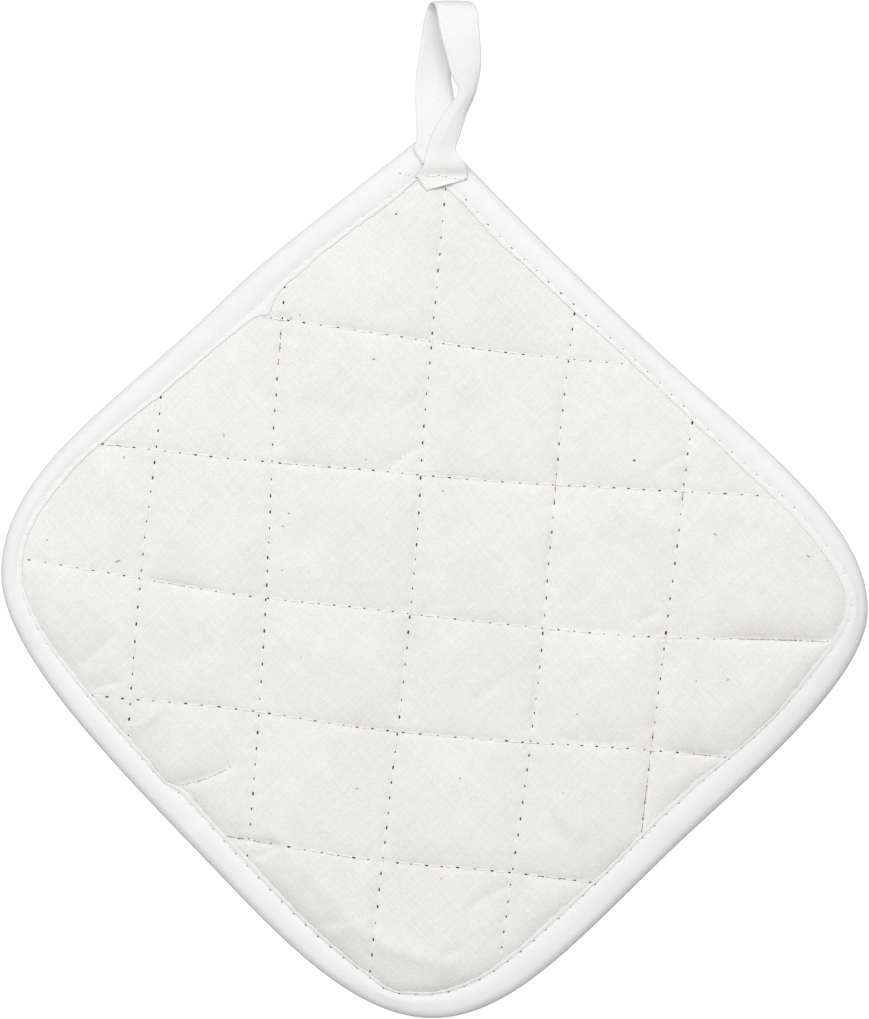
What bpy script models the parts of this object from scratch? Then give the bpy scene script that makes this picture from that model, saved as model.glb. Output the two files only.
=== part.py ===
"""Quilted pot holder: a filled calico pad, its bias-tape binding and its hanging loop.

The holder lies face up on the plane z = 0 with its looped corner towards +Y. X and Y are
measured from the middle of the whole thing, loop included. The tables below are in
millimetres and degrees; every mesh is written in metres.

The outline runs clockwise from the looped corner. "Inset" is a distance measured
squarely inwards from that outline, and "clearance" is a distance inwards from the
binding's inner lip.
"""
import math
from bisect import bisect_right
from collections import namedtuple

import bmesh
import bpy
from mathutils import Vector, geometry

MM = 0.001
GAP = 0.3

# Outline: Bezier anchors, with the heading and handle length on each side of each one.
Anchor = namedtuple("Anchor", "name x y heading_in heading_out reach_in reach_out")
OUTLINE = (
    Anchor("looped corner", -0.7, 109.4, 38.2, -46.0, 40.0, 36.0),
    Anchor("upper right side", 63.0, 46.5, -43.0, -43.0, 38.0, 40.0),
    Anchor("right corner", 124.4, -28.6, -90.0, -90.0, 25.0, 17.0),
    Anchor("lower right side", 75.2, -91.0, -137.5, -137.5, 35.0, 40.0),
    Anchor("bottom corner", -0.5, -146.0, 180.0, 180.0, 25.0, 24.5),
    Anchor("lower left side", -69.8, -96.3, 134.0, 134.0, 32.0, 38.0),
    Anchor("left corner", -124.4, -18.4, 90.0, 90.0, 21.0, 30.0),
    Anchor("upper left side", -58.2, 62.6, 44.5, 44.5, 46.0, 14.0),
)
BEZIER_STEPS = 48
STATION_COUNT = 108
MITRE_REACH = 26.0

# Width of binding that shows, at distances round the outline from the looped corner.
Show = namedtuple("Show", "name travelled width")
BINDING_SHOWS = (
    Show("looped corner", 0.0, 9.2),
    Show("upper right side", 90.0, 7.9),
    Show("above the right corner", 132.0, 8.9),
    Show("right corner", 184.0, 6.2),
    Show("below the right corner", 212.0, 8.1),
    Show("lower right side", 258.0, 9.7),
    Show("lower right side, low", 332.0, 9.6),
    Show("bottom corner", 376.0, 6.7),
    Show("lower left side", 442.0, 9.1),
    Show("lower left side, high", 478.0, 7.9),
    Show("below the left corner", 508.0, 7.8),
    Show("left corner", 552.0, 6.2),
    Show("above the left corner", 600.0, 7.1),
    Show("upper left side", 645.0, 9.0),
    Show("near the loop", 700.0, 9.0),
)

# Quilting lines: where each one lies at six places along its length. They run on,
# straight, as far as the binding on both sides.
UPRIGHT_AT_Y = (-115.0, -80.0, -45.0, -10.0, 25.0, 60.0)
UPRIGHT_X = (
    (-91.4, -88.9, -86.5, -83.3, -79.1, -77.2),
    (-55.2, -52.0, -49.5, -47.6, -46.0, -43.3),
    (-16.5, -12.5, -8.5, -5.2, -2.9, 0.3),
    (20.8, 25.8, 30.2, 33.3, 36.4, 40.6),
    (57.0, 60.9, 65.2, 69.6, 74.0, 80.7),
)
LEVEL_AT_X = (-95.0, -57.0, -19.0, 19.0, 57.0, 95.0)
LEVEL_Y = (
    (-87.6, -94.2, -100.4, -103.9, -108.7, -114.4),
    (-53.7, -57.2, -62.8, -66.3, -68.7, -72.2),
    (-18.0, -24.3, -28.5, -32.8, -36.3, -37.4),
    (18.8, 14.5, 11.3, 8.0, 5.9, 3.9),
    (61.8, 56.4, 50.9, 45.3, 41.5, 38.0),
)
LINE_PITCH = 38.4

# Main folds: short creases that lie across the puffed cells.
Fold = namedtuple("Fold", "name x0 y0 x1 y1 rise")
FOLDS = (
    Fold("pinch by the middle crossing", -14.5, 10.5, -4.7, 17.3, -1.0),
    Fold("dragged fold, lower left", -74.0, -78.6, -59.0, -73.5, -1.3),
    Fold("ridge near the left corner", -98.5, -45.0, -90.5, -34.0, 0.7),
    Fold("ridge under the first crossing", -86.0, -61.8, -76.0, -55.5, 0.7),
    Fold("slack, upper right", 41.2, 20.5, 54.7, 30.8, 0.6),
    Fold("slack below the middle", 9.3, -57.9, 22.5, -47.6, -0.7),
    Fold("drag above the bottom corner", 8.2, -116.7, 21.1, -108.4, -0.9),
    Fold("tuck at the lower left side", -53.0, -101.0, -44.0, -96.5, -0.9),
)
FOLD_HALF_WIDTH = 2.6
FOLD_FADE = 1.5
FOLD_POINT_STEP = 4.2
FOLD_POINT_OFFSET = 3.4

# Heights above the surface that the holder lies on.
BINDING_TOP = 5.0
TAPE_THICKNESS = 1.0
SLOT_FLOOR = TAPE_THICKNESS
SLOT_ROOF = BINDING_TOP - TAPE_THICKNESS
PAD_EDGE_TOP = SLOT_ROOF - GAP
PAD_EDGE_BOTTOM = SLOT_FLOOR + GAP
CROWN_RISE = 3.9
CROWN_SAG = 2.3
PUFF_LENGTH = 5.6
PUFF_START = 0.7
UNEVENNESS = 0.09
UNEVEN_LENGTH_X = 17.0
UNEVEN_LENGTH_Y = 23.0
UNEVEN_PHASE_X = 1.3
UNEVEN_PHASE_Y = 0.7

# Section of the folded tape: how far each point of its rounded edge lies inset from the
# outline and short of the full thickness, on its outside and in its slot.
TAPE_OUTSIDE = ((2.6, 0.0), (1.2, 0.3), (0.35, 1.05))
TAPE_INSIDE = ((1.45, 0.55), (2.6, 0.0))
LIP_ROUNDING = 0.35
LIP_FLAT_END = 0.5

# Pad mesh: cell fractions with a step on each side of a seam, and rings inside the edge.
CELL_FRACTIONS = (0.0, 0.085, 0.27, 0.5, 0.73, 0.915)
PAD_RIM_INSET = 1.6
PAD_RIM_INSET_FLAT = 3.0
PAD_RIM_TAPER = 0.6
LIP_CLEARANCE = 0.7
PUFF_RING_CLEARANCE = 3.8
GRID_CLEARANCE = 6.6
MIN_POINT_DISTANCE = 2.2
CELLS_BEYOND = 2
CROSSING_PASSES = 5

# Hanging loop: the two edges of the folded tape at each place along it, from the end
# tucked under the tack, up the lower strand, over the fold and down the upper strand.
LoopRow = namedtuple("LoopRow", "name left_x left_y left_z right_x right_y right_z")
LOOP = (
    LoopRow("tucked end", -3.4, 99.2, 5.9, 6.6, 99.6, 5.9),
    LoopRow("root", -5.9, 103.2, 5.9, 4.4, 102.9, 5.9),
    LoopRow("over the rim", -5.2, 106.4, 5.9, 5.3, 106.6, 5.9),
    LoopRow("past the corner", -5.3, 111.8, 4.6, 5.2, 112.0, 4.6),
    LoopRow("lower strand, low", -5.5, 117.6, 2.6, 5.6, 117.6, 2.6),
    LoopRow("lower strand, middle", -5.4, 124.1, 1.4, 4.7, 124.6, 1.4),
    LoopRow("lower strand, high", -4.4, 131.1, 1.3, 5.6, 132.1, 1.3),
    LoopRow("rising", -3.3, 139.1, 2.2, 7.0, 139.8, 2.2),
    LoopRow("into the fold", -2.1, 143.8, 3.8, 8.6, 144.0, 3.8),
    LoopRow("top of the fold", -0.9, 145.4, 7.0, 10.6, 145.4, 7.0),
    LoopRow("out of the fold", 0.4, 143.9, 10.1, 12.3, 143.0, 10.1),
    LoopRow("upper strand, high", 1.4, 138.1, 11.3, 12.9, 137.6, 11.3),
    LoopRow("upper strand, middle", 2.6, 133.1, 11.6, 13.2, 133.3, 11.4),
    LoopRow("curling", 4.6, 125.5, 11.5, 13.2, 126.7, 9.9),
    LoopRow("narrowest", 6.7, 120.1, 10.9, 11.9, 120.1, 7.4),
    LoopRow("crossing over", 4.7, 116.3, 9.8, 10.4, 116.2, 7.1),
    LoopRow("below the crossing", 2.4, 113.2, 9.0, 8.9, 112.6, 7.2),
    LoopRow("near the rim", -0.4, 108.3, 8.0, 7.3, 107.4, 7.4),
    LoopRow("start of the flare", -2.2, 103.1, 7.5, 6.2, 103.1, 7.5),
    LoopRow("tack row", -3.2, 98.5, 7.4, 8.8, 99.1, 7.4),
    LoopRow("below the tack", -4.8, 95.6, 6.6, 9.4, 96.4, 6.4),
    LoopRow("loose end", -2.3, 91.5, 5.8, 9.2, 94.7, 5.9),
)
LOOP_WIDTH = 10.0
LOOP_THICKNESS = 1.2
LOOP_ROW_STEPS = 3
LOOP_ACROSS = 6
ARCH_PASSES = 8

# Name, colour and roughness of each cloth.
CALICO = ("natural_calico", (0.83, 0.82, 0.79, 1.0), 0.92)
WHITE_TAPE = ("white_bias_tape", (0.93, 0.93, 0.93, 1.0), 0.88)

Station = namedtuple("Station", "point inward away corner_distance tape")


def blend(low, high, share):
    """Go smoothly from one value to another."""
    return low + (high - low) * (0.5 - 0.5 * math.cos(math.pi * share))


def catmull_rom(before, start, end, after, share):
    """Point on the smooth curve between start and end."""
    square = share * share
    cube = square * share
    return 0.5 * (
        2.0 * start
        + (end - before) * share
        + (2.0 * before - 5.0 * start + 4.0 * end - after) * square
        + (3.0 * start - before - 3.0 * end + after) * cube
    )


def heading_vector(degrees):
    """Unit vector in the plane, anticlockwise from +X."""
    angle = math.radians(degrees)
    return Vector((math.cos(angle), math.sin(angle)))


def trace_outline():
    """Closely spaced points along the outline, the first one at the looped corner."""
    points = []
    for anchor, following in zip(OUTLINE, OUTLINE[1:] + OUTLINE[:1]):
        start = Vector((anchor.x, anchor.y))
        end = Vector((following.x, following.y))
        leave = start + heading_vector(anchor.heading_out) * anchor.reach_out
        arrive = end - heading_vector(following.heading_in) * following.reach_in
        points += geometry.interpolate_bezier(start, leave, arrive, end, BEZIER_STEPS)[:-1]
    return points


def distances_along(points):
    """How far round a closed line each of its points is, and its whole length last."""
    distances = [0.0]
    for before, after in zip(points, points[1:] + points[:1]):
        distances.append(distances[-1] + (after - before).length)
    return distances


OUTLINE_POINTS = trace_outline()
OUTLINE_AT = distances_along(OUTLINE_POINTS)
PERIMETER = OUTLINE_AT[-1]


def binding_width(travelled):
    """Width of binding that shows at a distance round the outline."""
    places = [row.travelled for row in BINDING_SHOWS] + [PERIMETER]
    widths = [row.width for row in BINDING_SHOWS + BINDING_SHOWS[:1]]
    index = min(bisect_right(places, travelled), len(BINDING_SHOWS)) - 1
    share = (travelled - places[index]) / (places[index + 1] - places[index])
    return blend(widths[index], widths[index + 1], share)


OUTLINE_WIDTHS = [binding_width(travelled) for travelled in OUTLINE_AT[:-1]]


def outline_stations(count):
    """Evenly spaced places along the outline, the first one at the looped corner."""
    points = OUTLINE_POINTS + OUTLINE_POINTS[:1]
    stations = []
    for index in range(count):
        travelled = PERIMETER * index / count
        segment = bisect_right(OUTLINE_AT, travelled) - 1
        start, end = points[segment], points[segment + 1]
        step = OUTLINE_AT[segment + 1] - OUTLINE_AT[segment]
        along = (end - start).normalized()
        first_half = travelled <= PERIMETER / 2
        stations.append(Station(
            point=start.lerp(end, (travelled - OUTLINE_AT[segment]) / step),
            inward=Vector((along.y, -along.x)),
            away=along if first_half else -along,
            corner_distance=min(travelled, PERIMETER - travelled),
            tape=binding_width(travelled),
        ))
    return stations


def mitre_slope():
    """Shift along a side, per unit of inset, that brings it to the corner's mitre."""
    corner = OUTLINE[0]
    inside_angle = 180.0 - (corner.heading_in - corner.heading_out)
    return 1.0 / math.tan(math.radians(inside_angle / 2))


def inset_point(station, inset):
    """Point a given inset from the outline; the sections fan out towards the mitre."""
    lean = max(0.0, 1.0 - station.corner_distance / MITRE_REACH) * mitre_slope()
    return station.point + station.inward * inset + station.away * (inset * lean)


def line_position(stations, values, place):
    """Smooth curve through a quilting line's six places, straight beyond the ends."""
    last = len(stations) - 1
    if place <= stations[0]:
        slope = (values[1] - values[0]) / (stations[1] - stations[0])
        return values[0] + slope * (place - stations[0])
    if place >= stations[last]:
        slope = (values[last] - values[last - 1]) / (stations[last] - stations[last - 1])
        return values[last] + slope * (place - stations[last])
    segment = min(bisect_right(stations, place) - 1, last - 1)
    start, end = values[segment], values[segment + 1]
    before = values[segment - 1] if segment > 0 else 2.0 * start - end
    after = values[segment + 2] if segment + 2 <= last else 2.0 * end - start
    share = (place - stations[segment]) / (stations[segment + 1] - stations[segment])
    return catmull_rom(before, start, end, after, share)


def line_family(stations, table, index, place):
    """Line number index of a family; numbers past the ends are spaced evenly on."""
    nearest = min(max(index, 0), len(table) - 1)
    return line_position(stations, table[nearest], place) + (index - nearest) * LINE_PITCH


def upright_x(index, y):
    """X of an upright quilting line at height y."""
    return line_family(UPRIGHT_AT_Y, UPRIGHT_X, index, y)


def level_y(index, x):
    """Y of a level quilting line at x."""
    return line_family(LEVEL_AT_X, LEVEL_Y, index, x)


def quilt_point(column, column_share, row, row_share):
    """Point inside a cell, given as shares of the way across it and up it."""
    x, y = 0.0, 0.0
    for _ in range(CROSSING_PASSES):
        left, right = upright_x(column, y), upright_x(column + 1, y)
        x = left + (right - left) * column_share
        low, high = level_y(row, x), level_y(row + 1, x)
        y = low + (high - low) * row_share
    return Vector((x, y))


def clearance(point):
    """Distance from the binding's lip, inwards, of a point in the plan."""
    nearest = min(range(len(OUTLINE_POINTS)),
                  key=lambda index: (OUTLINE_POINTS[index] - point).length_squared)
    count = len(OUTLINE_POINTS)
    here = OUTLINE_POINTS[nearest]
    inset = (here - point).length
    for step in (-1, 1):
        beside = OUTLINE_POINTS[(nearest + step) % count]
        foot, share = geometry.intersect_point_line(point, here, beside)
        if 0.0 < share < 1.0:
            inset = min(inset, (foot.xy - point).length)
    side = (OUTLINE_POINTS[(nearest + 1) % count] - OUTLINE_POINTS[nearest - 1])
    outside = side.cross(point - here) > 0.0
    return (-inset if outside else inset) - OUTLINE_WIDTHS[nearest]


def fold_height(point):
    """Height that the main folds add to the pad's face at a point in the plan."""
    height = 0.0
    for fold in FOLDS:
        start, end = Vector((fold.x0, fold.y0)), Vector((fold.x1, fold.y1))
        foot, share = geometry.intersect_point_line(point, start, end)
        held = min(max(share, 0.0), 1.0)
        distance = (start.lerp(end, held) - point).length
        height += fold.rise * math.exp(-(distance / FOLD_HALF_WIDTH) ** 2)
    return height


def puff(point):
    """Share of the full crown, nil along every seam and at the binding's lip."""
    seams = [abs(point.x - upright_x(index, point.y)) for index in range(len(UPRIGHT_X))]
    seams += [abs(point.y - level_y(index, point.x)) for index in range(len(LEVEL_Y))]
    seams.append(max(0.0, clearance(point) - PUFF_START))
    share = 1.0
    for distance in seams:
        share *= 1.0 - math.exp(-distance / PUFF_LENGTH)
    wave_x = math.sin(point.x / UNEVEN_LENGTH_X + UNEVEN_PHASE_X)
    wave_y = math.cos(point.y / UNEVEN_LENGTH_Y + UNEVEN_PHASE_Y)
    return share * (1.0 + UNEVENNESS * wave_x * wave_y)


def fold_points():
    """Rows of points along each main fold, on it and beside it."""
    points = []
    for fold in FOLDS:
        start, end = Vector((fold.x0, fold.y0)), Vector((fold.x1, fold.y1))
        along = (end - start).normalized()
        beside = Vector((-along.y, along.x)) * FOLD_POINT_OFFSET
        steps = max(2, round((end - start).length / FOLD_POINT_STEP))
        for step in range(steps + 1):
            on_fold = start.lerp(end, step / steps)
            points += [on_fold, on_fold + beside, on_fold - beside]
    return points


def grid_points():
    """Points on the quilting lines and in the cells, clear of the edge rings."""
    points = []
    for column in range(-CELLS_BEYOND, len(UPRIGHT_X) + CELLS_BEYOND):
        for row in range(-CELLS_BEYOND, len(LEVEL_Y) + CELLS_BEYOND):
            for column_share in CELL_FRACTIONS:
                for row_share in CELL_FRACTIONS:
                    point = quilt_point(column, column_share, row, row_share)
                    if clearance(point) > GRID_CLEARANCE:
                        points.append(point)
    return points


def seam_ends(ring):
    """Places where the quilting lines cross a closed ring of points."""
    ends = []
    for family, index_count in ((upright_x, len(UPRIGHT_X)), (level_y, len(LEVEL_Y))):
        for index in range(index_count):
            for start, end in zip(ring, ring[1:] + ring[:1]):
                if family is upright_x:
                    side_start = start.x - family(index, start.y)
                    side_end = end.x - family(index, end.y)
                else:
                    side_start = start.y - family(index, start.x)
                    side_end = end.y - family(index, end.x)
                if side_start * side_end < 0.0:
                    ends.append(start.lerp(end, side_start / (side_start - side_end)))
    return ends


def lip_ring(stations, beyond_lip):
    """Ring a little inside the lip, with a point wherever a quilting line meets it."""
    ring = [inset_point(station, station.tape + beyond_lip) for station in stations]
    for end in seam_ends(ring):
        nearest = min(range(len(ring)), key=lambda index: (ring[index] - end).length_squared)
        ring[nearest] = end
    return ring


def thin_out(points, kept):
    """Drop the points that crowd those already kept."""
    spaced = list(kept)
    for point in points:
        if all((point - other).length > MIN_POINT_DISTANCE for other in spaced):
            spaced.append(point)
    return spaced[len(kept):]


def pad_plan():
    """Flat mesh of the pad: its points, its triangles and the size of its rim ring."""
    stations = outline_stations(STATION_COUNT)
    rings = [
        [inset_point(station, PAD_RIM_INSET) for station in stations],
        [inset_point(station, PAD_RIM_INSET_FLAT) for station in stations],
        lip_ring(stations, LIP_CLEARANCE),
        lip_ring(stations, PUFF_RING_CLEARANCE),
    ]
    points = [point for ring in rings for point in ring]
    loops = [[first + step for step in range(STATION_COUNT)]
             for first in range(0, len(points), STATION_COUNT)]
    edges = [(loop[step - 1], loop[step]) for loop in loops for step in range(STATION_COUNT)]
    points += thin_out(fold_points(), points)
    points += thin_out(grid_points(), points)
    triangles_inside = 1
    merge_distance = 1e-4
    flat = geometry.delaunay_2d_cdt(points, edges, [loops[0]], triangles_inside, merge_distance)
    return flat[0], flat[2]


def pad_heights(point, at_rim, at_flat):
    """Top and bottom of the pad at a point in the plan."""
    if at_rim:
        return PAD_EDGE_TOP - PAD_RIM_TAPER, PAD_EDGE_BOTTOM + PAD_RIM_TAPER
    if at_flat:
        return PAD_EDGE_TOP, PAD_EDGE_BOTTOM
    share = puff(point)
    folded = fold_height(point) * min(1.0, share * FOLD_FADE)
    top = PAD_EDGE_TOP + CROWN_RISE * share + folded
    bottom = max(0.0, PAD_EDGE_BOTTOM - CROWN_SAG * share)
    return top, bottom


def mesh_object(name, builder, material):
    """New object from a function that fills a bmesh in millimetres."""
    shape = bmesh.new()
    builder(shape)
    bmesh.ops.scale(shape, vec=(MM, MM, MM), verts=shape.verts)
    bmesh.ops.recalc_face_normals(shape, faces=shape.faces)
    mesh = bpy.data.meshes.new(name)
    shape.to_mesh(mesh)
    shape.free()
    mesh.shade_smooth()
    mesh.materials.append(material)
    item = bpy.data.objects.new(name, mesh)
    bpy.context.scene.collection.objects.link(item)
    return item


def fill_pad(shape):
    """Two quilted faces over one flat mesh, closed round the rim."""
    points, triangles = pad_plan()
    tops = []
    bottoms = []
    for index, point in enumerate(points):
        at_rim = index < STATION_COUNT
        at_flat = index < 2 * STATION_COUNT
        top, bottom = pad_heights(point, at_rim, at_flat)
        tops.append(shape.verts.new((point.x, point.y, top)))
        bottoms.append(shape.verts.new((point.x, point.y, bottom)))
    for corners in triangles:
        shape.faces.new([tops[corner] for corner in corners])
        shape.faces.new([bottoms[corner] for corner in reversed(corners)])
    for index in range(STATION_COUNT):
        beside = (index + 1) % STATION_COUNT
        shape.faces.new((tops[index], tops[beside], bottoms[beside], bottoms[index]))


def binding_section(tape):
    """Folded tape seen end on: inset and height, from the top lip round to the other."""
    outside = ((tape, LIP_ROUNDING), (tape - LIP_FLAT_END, 0.0)) + TAPE_OUTSIDE
    inside = TAPE_INSIDE + ((tape, 0.0),)
    half = BINDING_TOP / 2
    section = [(inset, BINDING_TOP - drop) for inset, drop in outside]
    section.append((0.0, half))
    section += [(inset, drop) for inset, drop in reversed(outside)]
    section += [(inset, SLOT_FLOOR + drop) for inset, drop in reversed(inside)]
    section.append((TAPE_THICKNESS, half))
    section += [(inset, SLOT_ROOF - drop) for inset, drop in inside]
    return section


def join_rings(shape, rings, closed):
    """Skin consecutive rings of vertices with four-sided faces."""
    pairs = list(zip(rings, rings[1:]))
    if closed:
        pairs.append((rings[-1], rings[0]))
    for ring, following in pairs:
        count = len(ring)
        for index in range(count):
            beside = (index + 1) % count
            shape.faces.new((ring[index], ring[beside], following[beside], following[index]))


def fill_binding(shape):
    """Tape folded over the edge all the way round, mitred at the looped corner."""
    rings = []
    for station in outline_stations(STATION_COUNT):
        ring = []
        for inset, height in binding_section(station.tape):
            place = inset_point(station, inset)
            ring.append(shape.verts.new((place.x, place.y, height)))
        rings.append(ring)
    join_rings(shape, rings, closed=True)


def loop_edges():
    """Both edges of the tape at every step along the loop."""
    lefts = [Vector((row.left_x, row.left_y, row.left_z)) for row in LOOP]
    rights = [Vector((row.right_x, row.right_y, row.right_z)) for row in LOOP]
    pairs = []
    last = len(LOOP) - 1
    for index in range(last):
        for step in range(LOOP_ROW_STEPS):
            share = step / LOOP_ROW_STEPS
            pair = []
            for edge in (lefts, rights):
                pair.append(catmull_rom(edge[max(index - 1, 0)], edge[index], edge[index + 1],
                                        edge[min(index + 2, last)], share))
            pairs.append(pair)
    pairs.append([lefts[last], rights[last]])
    return pairs


def arch_half_angle(span):
    """Half angle of the arch that tape of full width makes across a narrower span."""
    if span >= LOOP_WIDTH:
        return 0.0
    angle = math.sqrt(6.0 * (1.0 - span / LOOP_WIDTH))
    for _ in range(ARCH_PASSES):
        error = math.sin(angle) / angle - span / LOOP_WIDTH
        slope = (math.cos(angle) - math.sin(angle) / angle) / angle
        angle -= error / slope
    return angle


def loop_ring(left, right, forward):
    """Points round the tape's section, outer face first, and its arch outwards."""
    across = (right - left).normalized()
    outward = forward.cross(across).normalized()
    span = (right - left).length
    angle = arch_half_angle(span)
    outer = []
    inner = []
    for step in range(LOOP_ACROSS + 1):
        share = 2.0 * step / LOOP_ACROSS - 1.0
        if angle > 0.0:
            radius = span / (2.0 * math.sin(angle))
            turn = angle * share
            sideways = radius * math.sin(turn)
            lift = radius * (math.cos(turn) - math.cos(angle))
            facing = outward * math.cos(turn) + across * math.sin(turn)
        else:
            sideways = span / 2 * share
            lift = 0.0
            facing = outward
        middle = left.lerp(right, 0.5) + across * sideways + outward * lift
        outer.append(middle + facing * (LOOP_THICKNESS / 2))
        inner.append(middle - facing * (LOOP_THICKNESS / 2))
    return outer + inner[::-1]


def fill_loop(shape):
    """Folded tape swept from its tucked end, over the fold, to its loose end."""
    pairs = loop_edges()
    centres = [left.lerp(right, 0.5) for left, right in pairs]
    rings = []
    for index, (left, right) in enumerate(pairs):
        ahead = centres[min(index + 1, len(centres) - 1)]
        behind = centres[max(index - 1, 0)]
        ring = loop_ring(left, right, ahead - behind)
        rings.append([shape.verts.new(point) for point in ring])
    join_rings(shape, rings, closed=False)
    shape.faces.new(rings[0])
    shape.faces.new(rings[-1])


def cloth_material(name, colour, roughness):
    """Matt cloth of one colour."""
    material = bpy.data.materials.new(name)
    material.use_nodes = True
    shader = material.node_tree.nodes["Principled BSDF"]
    shader.inputs["Base Color"].default_value = colour
    shader.inputs["Roughness"].default_value = roughness
    shader.inputs["Metallic"].default_value = 0.0
    material.diffuse_color = colour
    return material


def main():
    """Clear the scene and make the three pieces."""
    for item in list(bpy.data.objects):
        bpy.data.objects.remove(item, do_unlink=True)
    mesh_object("quilted_pad", fill_pad, cloth_material(*CALICO))
    tape = cloth_material(*WHITE_TAPE)
    mesh_object("edge_binding", fill_binding, tape)
    mesh_object("hanging_loop", fill_loop, tape.copy())


main()
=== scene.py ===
"""Quilted pot holder, dressed: calico panel, bias binding, hanging loop and stitching.

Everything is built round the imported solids, in their own frame: the holder lies face up
on z = 0 with its looped corner towards +Y. Tables are in millimetres and degrees, and
meshes are written in metres. "Inset" is a distance squarely inwards from the outline.
"""
import math
from collections import namedtuple

import bpy
import numpy as np
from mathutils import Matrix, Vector
from mathutils.bvhtree import BVHTree


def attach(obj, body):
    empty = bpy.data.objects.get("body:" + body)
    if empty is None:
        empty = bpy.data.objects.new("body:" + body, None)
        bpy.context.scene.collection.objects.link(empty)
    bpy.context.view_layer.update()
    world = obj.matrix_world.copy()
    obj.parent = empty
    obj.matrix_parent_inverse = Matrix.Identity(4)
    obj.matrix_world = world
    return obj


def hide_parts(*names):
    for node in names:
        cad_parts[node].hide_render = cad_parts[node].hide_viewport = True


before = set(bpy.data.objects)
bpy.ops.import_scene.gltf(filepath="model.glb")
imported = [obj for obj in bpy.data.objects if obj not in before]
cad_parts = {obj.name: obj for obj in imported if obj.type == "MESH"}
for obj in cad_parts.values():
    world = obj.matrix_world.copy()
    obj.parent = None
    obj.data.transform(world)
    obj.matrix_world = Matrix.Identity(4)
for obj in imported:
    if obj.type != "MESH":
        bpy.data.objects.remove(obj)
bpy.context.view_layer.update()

bl_info = {
    "name": "Quilted Pot Holder",
    "version": (1, 0, 0),
    "blender": (4, 5, 0),
    "location": "3D View > Sidebar > Pot Holder",
    "description": "Builds a quilted calico pot holder with its binding, loop and stitching",
    "category": "Add Mesh",
}

BODY = "root"
MM = 0.001

# Outline, clockwise from the looped corner: Bezier anchors, with the heading and handle
# length on each side of each one.
Anchor = namedtuple("Anchor", "name x y heading_in heading_out reach_in reach_out")
OUTLINE = (
    Anchor("looped corner", -0.7, 109.4, 38.2, -46.0, 40.0, 36.0),
    Anchor("upper right side", 63.0, 46.5, -43.0, -43.0, 38.0, 40.0),
    Anchor("right corner", 124.4, -28.6, -90.0, -90.0, 25.0, 17.0),
    Anchor("lower right side", 75.2, -91.0, -137.5, -137.5, 35.0, 40.0),
    Anchor("bottom corner", -0.5, -146.0, 180.0, 180.0, 25.0, 24.5),
    Anchor("lower left side", -69.8, -96.3, 134.0, 134.0, 32.0, 38.0),
    Anchor("left corner", -124.4, -18.4, 90.0, 90.0, 21.0, 30.0),
    Anchor("upper left side", -58.2, 62.6, 44.5, 44.5, 46.0, 14.0),
)
BEZIER_STEPS = 48
MITRE_REACH = 26.0

# The binding, at distances round the outline from the looped corner: the width that
# shows, how far in the topstitching runs, and how crisply its lip stands out.
Lip = namedtuple("Lip", "travelled width stitch crisp")
LIP = (
    Lip(0.0, 9.15, 7.9, 0.7), Lip(13.0, 8.9, 7.7, 0.8), Lip(22.0, 8.6, 7.3, 0.9),
    Lip(34.0, 9.1, 7.8, 0.9),
    Lip(52.0, 8.4, 7.2, 0.9), Lip(90.0, 7.7, 6.3, 0.8), Lip(112.0, 8.2, 7.0, 0.8),
    Lip(134.0, 9.0, 7.4, 0.7), Lip(146.0, 8.4, 6.4, 0.3), Lip(165.0, 7.8, 5.7, 0.5),
    Lip(184.0, 6.3, 4.2, 0.3), Lip(200.0, 7.7, 5.9, 0.3), Lip(212.0, 8.3, 7.0, 0.4),
    Lip(238.0, 8.0, 7.2, 0.6), Lip(258.0, 9.6, 8.2, 0.7), Lip(275.0, 9.8, 8.4, 0.7),
    Lip(292.0, 9.2, 8.1, 0.9), Lip(315.0, 9.8, 8.4, 0.8), Lip(332.0, 9.7, 8.3, 0.7),
    Lip(345.0, 8.9, 7.8, 0.8), Lip(360.0, 8.1, 7.2, 0.9), Lip(372.0, 7.1, 6.3, 0.8),
    Lip(381.0, 6.1, 5.3, 0.9), Lip(389.0, 7.4, 6.5, 1.0), Lip(400.0, 8.0, 7.1, 1.2),
    Lip(420.0, 8.6, 7.4, 1.2), Lip(441.0, 9.2, 7.5, 1.2), Lip(456.0, 9.1, 7.8, 1.0),
    Lip(466.0, 9.5, 7.8, 0.9), Lip(471.0, 7.4, 6.6, 1.0), Lip(480.0, 8.0, 6.8, 1.0),
    Lip(505.0, 7.9, 6.6, 0.9), Lip(528.0, 6.9, 5.8, 0.7), Lip(545.0, 6.2, 5.3, 0.5),
    Lip(560.0, 6.1, 5.0, 0.3), Lip(585.0, 6.8, 5.6, 0.1), Lip(604.0, 7.4, 6.5, 0.3),
    Lip(620.0, 8.4, 7.5, 0.4), Lip(645.0, 8.9, 7.7, 0.3), Lip(654.0, 9.4, 7.8, 0.1),
    Lip(658.0, 10.5, 7.9, 0.1), Lip(660.5, 12.0, 8.0, 0.1), Lip(664.0, 10.2, 7.8, 0.1),
    Lip(670.0, 9.2, 7.6, 0.1), Lip(690.0, 8.8, 7.5, 0.4), Lip(712.0, 9.4, 8.1, 0.4),
    Lip(722.0, 9.2, 8.0, 0.5),
)

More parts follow.
